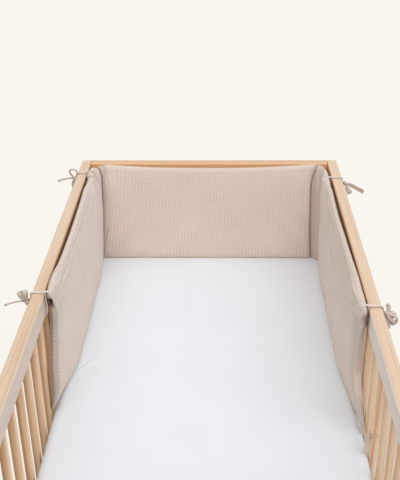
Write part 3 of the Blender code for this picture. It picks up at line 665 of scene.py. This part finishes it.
def endFace(right, base, count, ring, up, clothUp, clothEdge):
    # rows of points from the bed side's edge across to the other side's, bulged out, with a hollow
    # in the left end; then strips that join them to the coarser rows of the other side's edge.
    # Returns points, flat map, values and faces.
    s, tuck = bumper, bumper["tuck"]
    look = s["endFace"]["right" if right else "left"]
    inner = s["cellsUp"] * s["perCell"] + 1
    innerUp, outerUp, outerRing = up[:inner], up[inner - 1:][::-1], ring[inner - 1:][::-1]
    start, end = ring[:inner], np.stack([np.interp(innerUp, outerUp, outerRing[:, k]) for k in range(3)], -1)
    share = np.arange(1, s["capRows"]) / s["capRows"]
    t, outward = share[:, None, None], np.array([0.0, -1.0, 0.0])
    width = np.linalg.norm(end - start, axis=1)[None, :, None]
    bulge = np.minimum(s["capBulge"], 0.5 * width) * np.sin(math.pi * t) ** 0.7
    cap = start[None] * (1 - t) + end[None] * t + outward * bulge
    tucked = bell(innerUp - tuck["up"], tuck["high"])[None, :]
    if not right:
        cap[:, :, 1] += tuck["deep"] * tucked * np.sin(math.pi * t[:, :, 0]) ** 0.5
    cap, tucked, t = cap[:, 1:-1], tucked[:, 1:-1], t[:, :, 0]
    rows, columns = cap.shape[:2]
    pattern = np.abs(np.cos(math.pi * np.arange(1, columns + 1) / s["perCell"]))[None, :] ** 2
    cap = cap + outward * (s["relief"] * (pattern - 0.5) * np.sin(math.pi * t))[:, :, None]
    flat = np.stack(np.meshgrid(share * s["capWide"] * (1 if right else -1) + clothEdge, clothUp[1:inner - 1],
                                indexing="ij"), -1)
    # painted shade: darker towards the bars, and most in the hollow
    values = {
        "plainness": look["plain"], "crease": look["shadeShare"] + look["moreShadeByBars"] * t + 0.3 * tucked,
        "hem": 0.0, "lineOffset": 0.0, "lineStrength": tucked * smoothStep(t / 0.4) * look["dark"],
    }
    values = {key: np.broadcast_to(value, (rows, columns)) for key, value in values.items()}

    new = count + np.arange(rows * columns).reshape(rows, columns)
    grid = np.vstack([base + np.arange(1, inner - 1), new])
    outer = np.append(base + len(up) - 1 - np.arange(s["outerRows"]), base + inner - 1)
    faces = np.stack([grid[:-1, :-1], grid[:-1, 1:], grid[1:, 1:], grid[1:, :-1]], -1).reshape(-1, 4).tolist()
    faces += [[base, *grid[:, 0].tolist(), int(outer[0])], [base + inner - 1, *grid[::-1, -1].tolist()]]
    cut = np.append(0, np.minimum(np.searchsorted(innerUp[1:-1], outerUp[1:]), columns - 1))
    for k in range(s["outerRows"]):
        faces.append([*grid[-1, cut[k]:cut[k + 1] + 1].tolist(), int(outer[k + 1]), int(outer[k])])
    return cap, flat, values, [face[::-1] for face in faces] if right else faces


def makeBumper(material):
    s = bumper
    columns, inner = s["cellsAlong"] * s["perCell"] + 1, s["cellsUp"] * s["perCell"] + 1
    innerUp, innerLength = evenRows(1.0, inner)
    outerUp, outerLength = evenRows(-1.0, s["outerRows"] + 1)
    # once round a section: up the bed side, over the crest and down the other side
    rows = np.concatenate([innerUp, outerUp[-2::-1]])
    arc = np.append(np.linspace(0, innerLength, inner),
                    innerLength + np.linspace(0, outerLength, s["outerRows"] + 1)[1:])
    line = np.linspace(0, bandLength, columns)
    lineGrid, up = np.meshgrid(line, rows, indexing="ij")
    face = np.broadcast_to(np.where(np.arange(len(rows)) < inner, 1.0, -1.0), up.shape)
    onBed = np.where(face > 0, 1.0, 0.0)
    along, up = drawnTogether(lineGrid, up, face > 0)
    skin = shovedSkin(along, up, face)
    normal = skinNormals(skin, inner // 2, inner + s["outerRows"] // 2)

    cellU, cellV = np.arange(columns)[:, None] / s["perCell"], arc[None, :] / innerLength * s["cellsUp"]
    pattern = np.maximum(np.abs(np.cos(math.pi * cellU)) ** 2, np.abs(np.cos(math.pi * cellV)) ** 2) - 0.6
    fromCrest = np.broadcast_to(np.abs(arc - innerLength), up.shape)
    # the waffle shows most at the left end, then on the back, and least on the right side, in patches
    # as on washed cloth
    place, calmer = bandPart(along), s["calm"]
    plainness = 1 - smoothStep((fromCrest - s["plainTop"]) / s["plainTop"])
    calm = calmer["share"] + calmer["back"] * within(place, 0.97, 0.06, 2.03, 0.06)
    calm = calm + calmer["right"] * smoothStep((place - 2.03) / 0.1)
    calmEnd = s["endFace"]["right"]["plain"] * (place > 2.5)
    calm = calm * np.maximum(smoothStep((fromEnds(along) - calmer["ends"]) / 0.05), calmEnd)
    patches = 0.5 + 0.25 * np.sin(along * 41 + 7 * up + 1) + 0.25 * np.sin(along * 23 - 13 * up)
    plainness = np.clip(np.maximum(plainness, calm * (0.85 + 0.3 * patches)), 0, 1)
    weaveDepth = s["relief"] * (1 - 0.8 * plainness) * onBed
    detail, crease, lineOffset, lineStrength = surfaceDetail(along, up)
    # a stitched line under the crest, with a soft roll above it and painted shade in its groove
    stitched = bell(fromCrest - s["stitchLine"], s["stitchWide"])
    relief = pattern * weaveDepth + detail * onBed * smoothStep(fromCrest / s["crestFade"])
    relief = relief - s["stitchDeep"] * stitched * onBed
    soleFade = smoothStep(np.minimum(arc, arc[-1] - arc) / s["soleFade"])[None, :]
    skin = skin + normal * (relief * soleFade)[:, :, None]
    skin[:, :, 2] = np.maximum(skin[:, :, 2], s["foot"])
    # painted shade: the rim behind the hollow in the left end is as dark as the hollow
    rim = s["endFace"]["left"]["dark"] * bell(up - s["tuck"]["up"], s["tuck"]["high"])
    rim = rim * (1 - onBed) * (lineGrid < 0.006)
    values = {
        "plainness": [plainness], "crease": [crease * onBed + s["stitchShade"] * stitched * onBed],
        # painted shade along the crest
        "hem": [bell(fromCrest, s["crestShadeWide"]) * s["crestShadeShare"]],
        "lineOffset": [np.where(rim > 0.01, 0.0, lineOffset)], "lineStrength": [lineStrength * onBed + rim],
    }
    clothAlong = line / bandLength * s["cellsAlong"] * waffle["cellWide"]
    clothUp = cellV[0] * waffle["cellHigh"]
    points, flats = [skin], [np.stack(np.meshgrid(clothAlong, clothUp, indexing="ij"), -1)]
    faces, count = gridFaces(columns, len(rows), closedColumns=True).tolist(), skin[:, :, 0].size
    for right in (False, True):
        base, ring, edge = ((columns - 1) * len(rows), skin[-1], clothAlong[-1]) if right else (0, skin[0], 0)
        cap, flat, capValues, capFaces = endFace(right, base, count, ring, rows, clothUp, edge)
        points.append(cap)
        flats.append(flat)
        faces += capFaces
        count += cap[:, :, 0].size
        for key in values:
            values[key].append(capValues[key])
    piece = meshObject(
        "waffleBumper", np.concatenate([q.reshape(-1, 3) for q in points]), faces, material,
        np.concatenate([q.reshape(-1, 2) for q in flats]),
        {key: np.concatenate([q.ravel() for q in value]) for key, value in values.items()},
    )
    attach(piece, "root")
    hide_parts("bumper")


waffleCloth = makeWaffle("cottonWaffleCloth")
makeBumper(waffleCloth)
print("bumper made")


# ---- the ties ----

loops = partial(table, "tip belly wide thick")
tails = partial(table, "end bow wide size knotted thick shade")
ties = {
    "wide": 0.0100, "thick": 0.0030, "narrow": 0.0035, "knot": 0.0056,
    "ringWide": 0.0054, "ringThick": 0.0024, "lift": 0.0015, "wobble": 0.0006, "strandOut": 0.0006,
    # the profile's powers across and through, its pleats' depth as a share of its thickness, and how
    # much loops and tails are cupped
    "powers": (0.55, 0.80), "pleat": 0.28, "loopCup": 0.06, "tailCup": 0.05,
    # painted shade on the ties: the shares of the fold's shade that loops, tails and knots take, all scaled
    # by the last share; a tail's "shade" is its own share
    "loopShade": 0.35, "tailShade": 0.50, "knotShade": 0.45, "shadeShare": 0.6,
    "railHigh": 0.044, "railThick": 0.025, "railRound": 0.003, "railX": 0.3175, "drop": 0.010,
    # the piece from the bumper to the ring: X of its start, of the middle and of the ring, how deep it
    # starts in the pad and how far past the ring's place, and its heights above pad and rail
    "lead": {"x": (0.2925, 0.3010, 0.3120), "sunk": 0.0030, "past": 0.001, "clear": 0.0002,
             "arch": 0.0022, "over": 0.0017},
    # the loops and tails run (out, along, up) from the knot; "belly" and "bow" bend them, "wide" is a
    # loop's width or a tail's flat side, and "knotted" the size of a knot at a tail's end
    "rows": table(
        "name node side ringY knot padTop loops tails",
        ("tieHeadLeft", "tie_head_left", -1, 0.537, (-0.336, 0.530, 0.839), 0.857, loops(
            ((0.0046, 0.002, 0.024), (0.0092, 0, 0), 0.0085, 0.0042)), tails(
            ((0.040, -0.004, -0.004), (0, 0, 0.003), (0, 0.92, -0.38), 0.0065, 0.0030, 0.0038, 0.8),
            ((0.003, -0.005, -0.022), (0.003, 0, 0), (1, 0, 0), 0.0095, 0))),
        ("tieFootLeft", "tie_foot_left", -1, -0.0375, (-0.336, -0.055, 0.841), 0.855, loops(
            ((0.013, 0, 0.0215), (0, 0.005, 0), 0.0095),
            ((0.002, 0, 0.0250), (0, 0.005, 0), 0.0095)),
         tails(((0.040, -0.006, -0.003), (0, 0, 0.004), (0, 0.85, -0.53), 0.0060, 0.0024))),
        ("tieHeadRight", "tie_head_right", 1, 0.5078, (0.336, 0.488, 0.845), 0.854, loops(
            ((0.0105, -0.018, -0.0185), (0, 0.0035, -0.0019), 0.0120, 0.0030)), tails(
            ((0.0387, -0.040, -0.005), (0, 0, 0.002), (0, 0.3, 0.95), 0.0100, 0))),
        ("tieFootRight", "tie_foot_right", 1, -0.082, (0.336, -0.095, 0.844), 0.856, loops(
            ((0.0170, -0.003, -0.0175), (0.0058, 0, 0.0058), 0.0090, 0.0046),
            ((0.0150, 0.004, -0.0060), (0.0030, 0, 0.0045), 0.0100, 0.0042),
            ((0.0110, -0.006, -0.0150), (0.0045, 0.001, -0.0030), 0.0095, 0.0042),
            ((0.004, -0.004, -0.028), (0, 0.004, 0), 0.0100, 0.0040)),
         tails(((0.001, 0.006, 0.017), (0.003, 0, 0), (1, 0, 0.2), 0.0080, 0, 0.0036))),
    ),
    "low": {
        "name": "tieLowRight", "node": "tie_low_right", "side": 1, "barY": -0.1854, "up": 0.640,
        # "ringShade" is painted shade that darkens the ring round the bar
        "barSize": 0.014, "barRound": 0.003, "ringShade": 0.35, "ringWide": 0.0026, "ringThick": 0.0012,
        "knot": (0.3040, -0.1890, 0.634), "loops": [], "tails": tails(
            ((0.003, 0.0545, -0.026), (0, -0.010, -0.009), (0, 0.2, 0.98), 0.0090, 0),
            ((-0.0005, -0.004, -0.033), (-0.0010, 0, 0), (1, 0.25, 0), 0.0085, 0, 0.0030, 0)),
    },
}


def carriedStrip(path, wide, widths, thick, cup=0.0, pleats=0, closed=False):
    # a flat rounded profile carried along the path: a superellipse as wide as widths, cupped by a
    # parabola and pleated by a cosine across it. Returns points, faces, flat map and length.
    n, around = len(path), 16
    ahead = unit(np.roll(path, -1, 0) - np.roll(path, 1, 0) if closed else np.gradient(path, axis=0))
    across = np.broadcast_to(np.asarray(wide, float), path.shape)
    across = unit(across - ahead * np.sum(ahead * across, 1, keepdims=True))
    over = np.cross(ahead, across)
    turn = np.linspace(0, 2 * math.pi, around, endpoint=False)
    w = np.sign(np.cos(turn)) * np.abs(np.cos(turn)) ** ties["powers"][0]
    h = np.sign(np.sin(turn)) * np.abs(np.sin(turn)) ** ties["powers"][1]
    w2 = w[None, :] * widths[:, None] / 2
    h2 = h[None, :] * thick / 2 + cup * (w[None, :] ** 2 - 0.4) * widths[:, None]
    h2 = h2 + (ties["pleat"] * thick * np.cos(pleats * math.pi * w)[None, :] if pleats else 0)
    points = path[:, None] + across[:, None] * w2[:, :, None] + over[:, None] * h2[:, :, None]
    faces = gridFaces(n, around, closedRows=closed, closedColumns=True).tolist()
    if not closed:
        faces += [tuple(range(around)), tuple((n - 1) * around + k for k in range(around - 1, -1, -1))]
    length = arcLength(path)
    flat = np.stack([np.broadcast_to(length[:, None], w2.shape), w2], -1)
    return points.reshape(-1, 3), faces, flat.reshape(-1, 2), length[-1]


def knotShape(centre, radii, wraps):
    # a ball pressed to three half widths, with grooves along its turns like wrapped cloth; its poles
    # are single points closed by triangles
    rows, around = 11, 20
    polar = np.linspace(0, math.pi, rows + 2)[1:-1, None]
    turn = np.linspace(0, 2 * math.pi, around, endpoint=False)[None, :]
    swell = 1 + 0.10 * np.cos(wraps * turn + 2.2 * polar)
    ball = np.stack([
        radii[0] * np.sin(polar) * np.cos(turn) * swell, radii[1] * np.sin(polar) * np.sin(turn) * swell,
        radii[2] * np.cos(polar) * (1 + 0 * turn),
    ], -1).reshape(-1, 3)
    points = np.concatenate([ball, [[0, 0, radii[2]], [0, 0, -radii[2]]]]) + np.asarray(centre)
    faces = gridFaces(rows, around, closedColumns=True).tolist() + poleFaces(rows, around)
    return points, faces, np.stack([np.arctan2(points[:, 1], points[:, 0]) * 0.004, points[:, 2]], -1)


def roundedLoop(centre, halfA, halfB, rounding, axisA, axisB, count):
    # a rectangle with quarter circles at its corners, walked at even steps
    quarter = np.linspace(0, math.pi / 2, 9)
    a, b = (np.concatenate([
        corner[k] * (half - rounding) + rounding * wave(quarter + q * math.pi / 2)
        for q, corner in enumerate(((1, 1), (-1, 1), (-1, -1), (1, -1)))
    ]) for k, (half, wave) in enumerate(((halfA, np.cos), (halfB, np.sin))))
    a, b = np.append(a, a[0]), np.append(b, b[0])
    length = np.concatenate([[0], np.cumsum(np.hypot(np.diff(a), np.diff(b)))])
    at = np.linspace(0, length[-1], count, endpoint=False)
    a, b = np.interp(at, length, a), np.interp(at, length, b)
    return np.asarray(centre) + a[:, None] * np.asarray(axisA, float) + b[:, None] * np.asarray(axisB, float)


def outwards(points, faces):  # turns a closed shell's faces over if its volume comes out negative
    triangles = np.array([(face[0], b, c) for face in faces for b, c in zip(face[1:-1], face[2:])])
    a, b, c = np.asarray(points)[triangles].transpose(1, 0, 2)
    return faces if np.einsum("ij,ij->", a, np.cross(b, c)) > 0 else [face[::-1] for face in faces]


def makeTie(row, ringPath, ringAxis, leads, material):
    # ring, leads, loops and tails as strips of ribbon, and its knots, joined in one piece
    s = ties
    mirror, knot = np.array([row["side"], 1, 1]), np.asarray(row["knot"])
    shells, lengths = [], []

    def addStrip(shade, *shape, **more):
        *shell, length = carriedStrip(*shape, **more)
        shells.append((*shell, shade))
        lengths.append(length)

    ringWide, ringThick = row.get("ringWide", s["ringWide"]), row.get("ringThick", s["ringThick"])
    addStrip(row.get("ringShade", 0.0), ringPath, ringAxis, np.full(len(ringPath), ringWide), ringThick,
             pleats=3, closed=True)
    for path, wide, widths in leads:
        addStrip(0.0, path, wide, widths, s["ringThick"] * 0.9, pleats=3)
    t = np.linspace(0, 1, 41)[:, None]
    for loop in row["loops"]:
        tip, belly = np.asarray(loop["tip"]) * mirror, np.asarray(loop["belly"]) * mirror
        path = knot + np.sin(math.pi * t) * tip + np.sin(2 * math.pi * t) * belly
        widths = s["narrow"] + (loop["wide"] - s["narrow"]) * np.sin(math.pi * t[:, 0]) ** 0.6
        addStrip(s["loopShade"], path, np.cross(tip, belly), widths, loop.get("thick", s["thick"]),
                 cup=s["loopCup"])
    for number, tail in enumerate(row["tails"]):
        end, bow, wide = (np.asarray(tail[key]) * mirror for key in ("end", "bow", "wide"))
        wave = np.sin(t * 7.0 + number) * s["wobble"]
        path = knot + t * end + 4 * t * (1 - t) * bow + wave * (1 - t) * t * 4 * np.array([0, 0, 1])
        widths = s["narrow"] + (tail["size"] - s["narrow"]) * smoothStep(t[:, 0] / 0.45)
        addStrip(tail.get("shade", s["tailShade"]), path, wide, widths, tail.get("thick", s["thick"]),
                 cup=s["tailCup"])
        if tail["knotted"]:
            radii = (tail["knotted"] * 1.25, tail["knotted"], tail["knotted"])
            shells.append((*knotShape(knot + end, radii, 2), s["knotShade"]))
    shells.append((*knotShape(knot, (s["knot"] * 0.85, s["knot"], s["knot"]), 3), s["knotShade"]))

    total = sum(lengths)
    faces, count = [], 0
    for points, shellFaces, _, _ in shells:
        faces += [tuple(int(k) + count for k in face) for face in outwards(points, shellFaces)]
        count += len(points)
    piece = meshObject(
        row["name"], np.concatenate([shell[0] for shell in shells]), faces, material,
        np.concatenate([shell[2] for shell in shells]), {
            "plainness": np.ones(count), "hem": np.zeros(count), "lineStrength": np.zeros(count),
            "crease": np.concatenate([np.full(len(shell[0]), shell[3]) for shell in shells]) * s["shadeShare"],
            "lineOffset": np.full(count, waffle["farOff"]),
        })
    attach(piece, "root")
    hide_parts(row["node"])
    print(row["name"], "ribbon", round(total, 3), "m long")


def makeTies(material):
    s, lead, railTop = ties, ties["lead"], bumper["railTop"]
    halfX, halfZ = s["railThick"] / 2 + s["lift"], s["railHigh"] / 2 + s["lift"]
    t = np.linspace(0, 1, 25)[:, None]
    for row in s["rows"]:
        side, y = row["side"], row["ringY"]
        ring = roundedLoop((side * s["railX"], y, railTop - s["railHigh"] / 2), halfX, halfZ,
                           s["railRound"] + s["lift"], (side, 0, 0), (0, 0, 1), 120)
        ring[:, 1] += s["wobble"] * np.sin(np.linspace(0, 6 * math.pi, 120))
        # from the ring's outer side back to the knot, and from the pad's top edge to the ring
        outer = np.array([side * (s["railX"] + halfX + s["strandOut"]), y, railTop - s["drop"]])
        strand = outer + t * (np.asarray(row["knot"]) - outer)
        startX, middleX, ringX = (side * x for x in lead["x"])
        start = np.array([startX, y - lead["past"], row["padTop"] - lead["sunk"]])
        middle = np.array([middleX, y, max(row["padTop"] + lead["clear"], railTop + lead["arch"])])
        over = np.array([ringX, y, railTop + lead["over"]])
        arch = (1 - t) ** 2 * start + 2 * t * (1 - t) * middle + t**2 * over
        width = np.full(25, s["ringWide"])
        makeTie(row, ring, (0, 1, 0), [
            (strand, (0, 0, 1), width * 0.85), (arch, (0, 1, 0), width * (1.25 - 0.3 * t[:, 0]))], material)
    low = s["low"]
    half, place = low["barSize"] / 2 + s["lift"], np.array([s["railX"], low["barY"], low["up"]])
    ring = roundedLoop(place, half, half, low["barRound"] + s["lift"], (1, 0, 0), (0, 1, 0), 80)
    start = place - [half, 0, 0]
    strand = start + t * (np.asarray(low["knot"]) - start)
    makeTie(low, ring, (0, 0, 1), [(strand, (0, 1, 0), np.full(25, s["ringWide"]))], material)


makeTies(waffleCloth)
print("ties made")


# ---- the mattress in its fitted sheet ----

mattress = {
    "top": 0.595, "deep": 0.100, "width": 0.611, "length": 1.197, "corner": 0.050, "edge": 0.018,
    "rightWider": 0.0038, "widerFrom": 0.15, "topSoft": 0.004,
    "settled": 0.0002,  # how far the top lies under the solid's, so that the bumper never cuts it
    # the bumper stands on the sheet from these places outwards, behind "behind" on the sides
    "standing": {"x": 0.270, "y": 0.546, "soft": 0.006, "outside": 0.262, "behind": -0.07},
    "around": 720, "innerRings": 14, "outerRings": 30, "edgeRings": 7, "sideRings": 10, "outerShare": 0.76,
    # more points of the outline lie near the small creases, which are at this Y
    "denser": {"y": 0.045, "wide": 0.055, "more": 3.5},
    "white": "eceff3", "shade": "e6e9ed", "cloud": 0.120, "thread": 0.002, "bump": 0.10, "bumpHigh": 0.0003,
    "wrinkles": table(  # "turn" is the angle from X, "long" and "wide" are half sizes
        "x y turn long wide high",
        (-0.276, 0.076, 52, 0.016, 0.002, 0.0016), (-0.272, 0.066, 46, 0.02, 0.0018, 0.0017),
        (-0.27, 0.055, 40, 0.024, 0.002, 0.0018), (-0.268, 0.044, 34, 0.022, 0.0019, 0.0016),
        (-0.27, 0.034, 28, 0.018, 0.0022, 0.0014), (-0.255, 0.085, 60, 0.03, 0.005, 0.0016),
        (-0.258, 0.028, 26, 0.03, 0.005, 0.0014), (0.272, 0.05, 148, 0.018, 0.002, 0.001),
        (0.268, 0.038, 142, 0.022, 0.0022, 0.001), (0.262, 0.058, 158, 0.03, 0.0034, 0.001),
        (0.262, 0.02, 136, 0.026, 0.0034, 0.0009), (0.1, -0.2, 96, 0.16, 0.03, 0.0016),
        (-0.12, -0.05, 84, 0.2, 0.035, 0.0016),
    ),
}


def makeSheetMaterial():
    # white cotton percale, woven and pressed: smooth, matt, with a faint even thread
    s = mattress
    material, add = newMaterial("cottonPercaleSheet", {
        "Roughness": 0.85, "Specular IOR Level": 0.22, "Sheen Weight": 0.08, "Sheen Roughness": 0.5,
    })
    place = add("TexCoord", output="Object")
    cloud = add("TexNoise", None, {"Vector": place, "Scale": 1 / s["cloud"], "Detail": 2.0})
    # threads drawn at 2 mm where the real ones are 0.25 mm and too fine to show
    axes = add("SeparateXYZ", None, (place,)).node.outputs
    weave = add("Math", {"operation": "MULTIPLY"}, tuple(threadWaves(add, axes, "SINE", [s["thread"]] * 2)))
    tone = layered(add, linearColour(s["shade"]), (cloud, s["white"]))
    return finishMaterial(material, tone, weave, s["bump"], s["bumpHigh"])


def makeMattress():
    # rings of a rounded rectangle: shrunk towards the middle on top and below, and moved in by a
    # quarter circle at both edges
    s = mattress
    outline = roundedLoop((0, 0, 0), s["width"] / 2, s["length"] / 2, s["corner"], (1, 0, 0), (0, 1, 0), 8000)
    near = bell(outline[:, 1] - s["denser"]["y"], s["denser"]["wide"])
    weight = 1 + s["denser"]["more"] * near * (np.abs(outline[:, 0]) > s["width"] / 2 - 0.001)
    share = (np.cumsum(weight) - weight[0]) / weight.sum()
    around = s["around"]
    outline = np.stack([np.interp(np.arange(around) / around, share, outline[:, k]) for k in range(3)], -1)
    along = unit(np.roll(outline, -1, 0) - np.roll(outline, 1, 0))
    outward = np.stack([along[:, 1], -along[:, 0], 0 * along[:, 0]], -1)
    outward *= np.sign(np.sum(outward * outline, 1).mean())
    share = np.concatenate([np.linspace(0, s["outerShare"], s["innerRings"])[1:],
                            np.linspace(s["outerShare"], 1, s["outerRings"])[1:]])
    low, high, edge = s["top"] - s["deep"], s["top"], s["edge"]
    turn = np.linspace(0, math.pi / 2, s["edgeRings"])[1:]
    side = np.linspace(0, 1, s["sideRings"])[1:-1]
    # each ring from the top's middle to the bottom's: share of the outline, distance in, height
    shares = np.concatenate([share, 1 + 0 * turn, 1 + 0 * side, 1 + 0 * turn, share[-2::-1]])
    movedIn = np.concatenate([
        0 * share + edge, edge * (1 - np.sin(turn)), 0 * side, edge * (1 - np.cos(turn)),
        0 * share[:-1] + edge,
    ])
    heights = np.concatenate([
        0 * share + high, high - edge * (1 - np.cos(turn)), high - edge - (s["deep"] - 2 * edge) * side,
        low + edge * (1 - np.sin(turn)), 0 * share[:-1] + low,
    ])
    rings = (outline[None] - outward[None] * movedIn[:, None, None]) * shares[:, None, None]
    rings[:, :, 2] = heights[:, None]
    points = np.concatenate([rings.reshape(-1, 3), [[0, 0, high], [0, 0, low]]])
    points[:, 0] += s["rightWider"] * smoothStep((points[:, 0] - s["widerFrom"]) / 0.15)
    x, y, z = points.T
    raised = np.zeros(len(points))
    for row in s["wrinkles"]:
        a = math.radians(row["turn"])
        forward = ((x - row["x"]) * math.cos(a) + (y - row["y"]) * math.sin(a)) / row["long"]
        sideways = (-(x - row["x"]) * math.sin(a) + (y - row["y"]) * math.cos(a)) / row["wide"]
        raised += row["high"] * bell(forward, 1) * (bell(sideways, 1) - 0.6 * bell(sideways - 1.7, 1))
    # the sheet is level where the bumper stands on it
    stand = s["standing"]
    onSides = np.where((np.abs(x) > stand["outside"]) & (y > stand["behind"]), 1.0, 0.0)
    onSides = onSides * smoothStep((np.abs(x) - stand["x"]) / stand["soft"])
    standing = np.maximum(onSides, smoothStep((y - stand["y"]) / stand["soft"]))
    onTop = smoothStep((z - (high - s["topSoft"])) / s["topSoft"])
    points[:, 2] += raised * onTop * (1 - standing) - s["settled"] * onTop
    faces = gridFaces(len(shares), around, closedColumns=True).tolist() + poleFaces(len(shares), around)
    piece = meshObject("sheetedMattress", points, outwards(points, faces), makeSheetMaterial(), points[:, :2])
    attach(piece, "root")
    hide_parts("mattress")


makeMattress()
print("mattress made")


# ---- the wooden cot ----

wood = {
    "pale": "e8ccb0", "middle": "dcba95", "dark": "c99c70", "pore": "b48256",
    "deep": "7d4e27", "hiddenReach": 0.022, "bump": 0.12, "bumpHigh": 0.0003,
    # the grain's noises: width and length in metres, detail and roughness
    "streak": (0.0065, 0.42, 3.0, 0.55), "board": (0.060, 1.3, 1.0, 0.5), "fibre": (0.0012, 0.060, 2.0, 0.6),
    # ranges of the noises over which tone, pores and streaks come in, and how strong pores get
    "spread": (0.62, 1.38), "pores": (0.60, 0.78), "poreShare": 0.45, "streaks": (0.50, 0.64),
    # "hidden" is the share of painted shade in narrow places; each tone has its share and the axes along
    # which it comes in, with the places where it starts and is full; the tones on faces and across bars are
    # painted light and shade; "streak" tints the streaks
    "faces": {
        # left rail: greyer all over; painted light on the inner face towards the foot end, and orange painted
        # shade with bounced light on it beside the pad
        "leftRail": {"hidden": 0.62, "tonesAndLight": [
            ("c2b4a6", 0.20), ("ddd2c9", 0.62, (0, -0.3082, -0.3054), (1, -0.03, -0.07)),
            ("c98f58", 0.55, (0, -0.3082, -0.3054), (1, -0.05, -0.02)),
        ]},
        # right rail: greyer all over; painted light on the inner face towards the foot end, and orange
        # painted shade with bounced light on it beside the pad
        "rightRail": {"hidden": 0.62, "tonesAndLight": [
            ("c2b4a6", 0.12), ("efe8e1", 0.78, (0, 0.3082, 0.3054), (1, -0.06, -0.10)),
            ("c98f58", 0.55, (0, 0.3082, 0.3054), (1, -0.09, -0.06)),
        ]},
        # head rail: darker all over, and orange painted shade with bounced light on its inner face
        "headRail": {"hidden": 0.30, "tonesAndLight": [("c99f7c", 0.38), ("f4be84", 0.78, (1, 0.6045, 0.6008))]},
        # left bars: painted light and shade across each bar, paler all over and darker towards the outside
        "leftBars": {"hidden": 0.16, "streak": ("bf7f45", 0.50), "tonesAndLight": [
            ("fad8ae", 0.68), ("a0682f", 0.70, (0, -0.3118, -0.3245)),
        ]},
        # right bars: painted light, paler all over, with an orange strip towards the inner side and paler
        # still on the inner face
        "rightBars": {"hidden": 0.10, "streak": ("dd9a5e", 0.68), "tonesAndLight": [
            ("ffecd0", 0.90), ("d9965a", 0.42, (0, 0.3235, 0.3135)), ("fbead2", 0.80, (0, 0.3122, 0.3108)),
        ]},
        "plain": {"hidden": 0.5, "tonesAndLight": []},
    },
    "kinds": {  # the grain's axis and the faces, by the start of a node's name
        "top_rail_left": (1, "leftRail"), "top_rail_right": (1, "rightRail"), "low_rail": (1, "plain"),
        "leg": (2, "plain"), "bar_left": (2, "leftBars"), "bar_right": (2, "rightBars"),
        "head_grille": (0, "headRail"), "foot_grille": (0, "plain"),
    },
}


def makeWood(name, axis, seed, faces):
    # solid beech, planed, sanded and oiled: satin, with long fine grain along the piece and a tone for
    # each face as in the photograph
    material, add = newMaterial(name, {"Roughness": 0.48, "Specular IOR Level": 0.35})
    place = add("TexCoord", output="Object")
    parts = add("SeparateXYZ", None, (place,)).node.outputs
    noises = []
    for wide, long, detail, rough in (wood[key] for key in ("streak", "board", "fibre")):
        scale = [1 / wide] * 3
        scale[axis] = 1 / long
        moved = [seed * k for k in (3.1, 7.7, 1.9)]  # another part of the noise for each kind of piece
        turned = add("Mapping", None, {"Vector": place, "Scale": scale, "Location": moved})
        noises.append(add("TexNoise", None, {
            "Vector": turned, "Scale": 1.0, "Detail": detail, "Roughness": rough, "Distortion": 0.25}))
    streak, board, fibre = noises
    both = add("Math", {"operation": "ADD"}, (streak, board))
    ramp = [(0.0, wood["dark"]), (0.30, wood["middle"]), (0.70, wood["pale"]), (1.0, wood["middle"])]
    tone = add("ValToRGB", {"ramp": ramp}, (add("MapRange", None, (both, *wood["spread"], 0.0, 1.0)),))
    pores = add("MapRange", None, (fibre, *wood["pores"], 0.0, wood["poreShare"]))
    look, layers = wood["faces"][faces], [(pores, wood["pore"])]
    # the tones laid over the grain, mostly painted light and shade on faces
    for hexTone, share, *changes in look["tonesAndLight"]:
        for across, start, end in changes:
            share = add("MapRange", {"interpolation_type": "SMOOTHSTEP"}, (
                parts[across], start, end, 0.0, share))
        layers.append((share, hexTone))
    if "streak" in look:  # darker streaks of the grain, drawn 6 mm wide
        hexTone, amount = look["streak"]
        layers.append((add("MapRange", None, (streak, *wood["streaks"], 0.0, amount)), hexTone))
    tone = hiddenShade(add, layered(add, tone, *layers), wood["deep"], wood["hiddenReach"], look["hidden"])
    return finishMaterial(material, tone, fibre, wood["bump"], wood["bumpHigh"])


def makePlywood():
    # birch plywood, sawn: a pale flecked face and thin layers of brown glue lines at its edges
    material, add = newMaterial("birchPlywood", {"Roughness": 0.6, "Specular IOR Level": 0.3})
    place, scale = add("TexCoord", output="Object"), (1 / 0.010, 1 / 0.25, 1 / 0.0015)
    turned = add("Mapping", None, {"Vector": place, "Scale": scale})
    layer = add("TexNoise", None, {"Vector": turned, "Scale": 1.0, "Detail": 2.0})
    ramp = [(0.30, "b78f63"), (0.55, "dcc19b"), (0.80, "e6d2b3")]
    return finishMaterial(material, add("ValToRGB", {"ramp": ramp}, (layer,)))


def finishCot():
    made = {start: makeWood("oiledBeech_" + start, axis, number + 1, faces)
            for number, (start, (axis, faces)) in enumerate(wood["kinds"].items())}
    made["mattress_base"] = makePlywood()
    for name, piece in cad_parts.items():
        chosen = [material for start, material in made.items() if name.startswith(start)]
        for slot in piece.material_slots if chosen else []:
            slot.link = "OBJECT"
            slot.material = chosen[0]


finishCot()
print("cot finished")


bpy.context.view_layer.update()
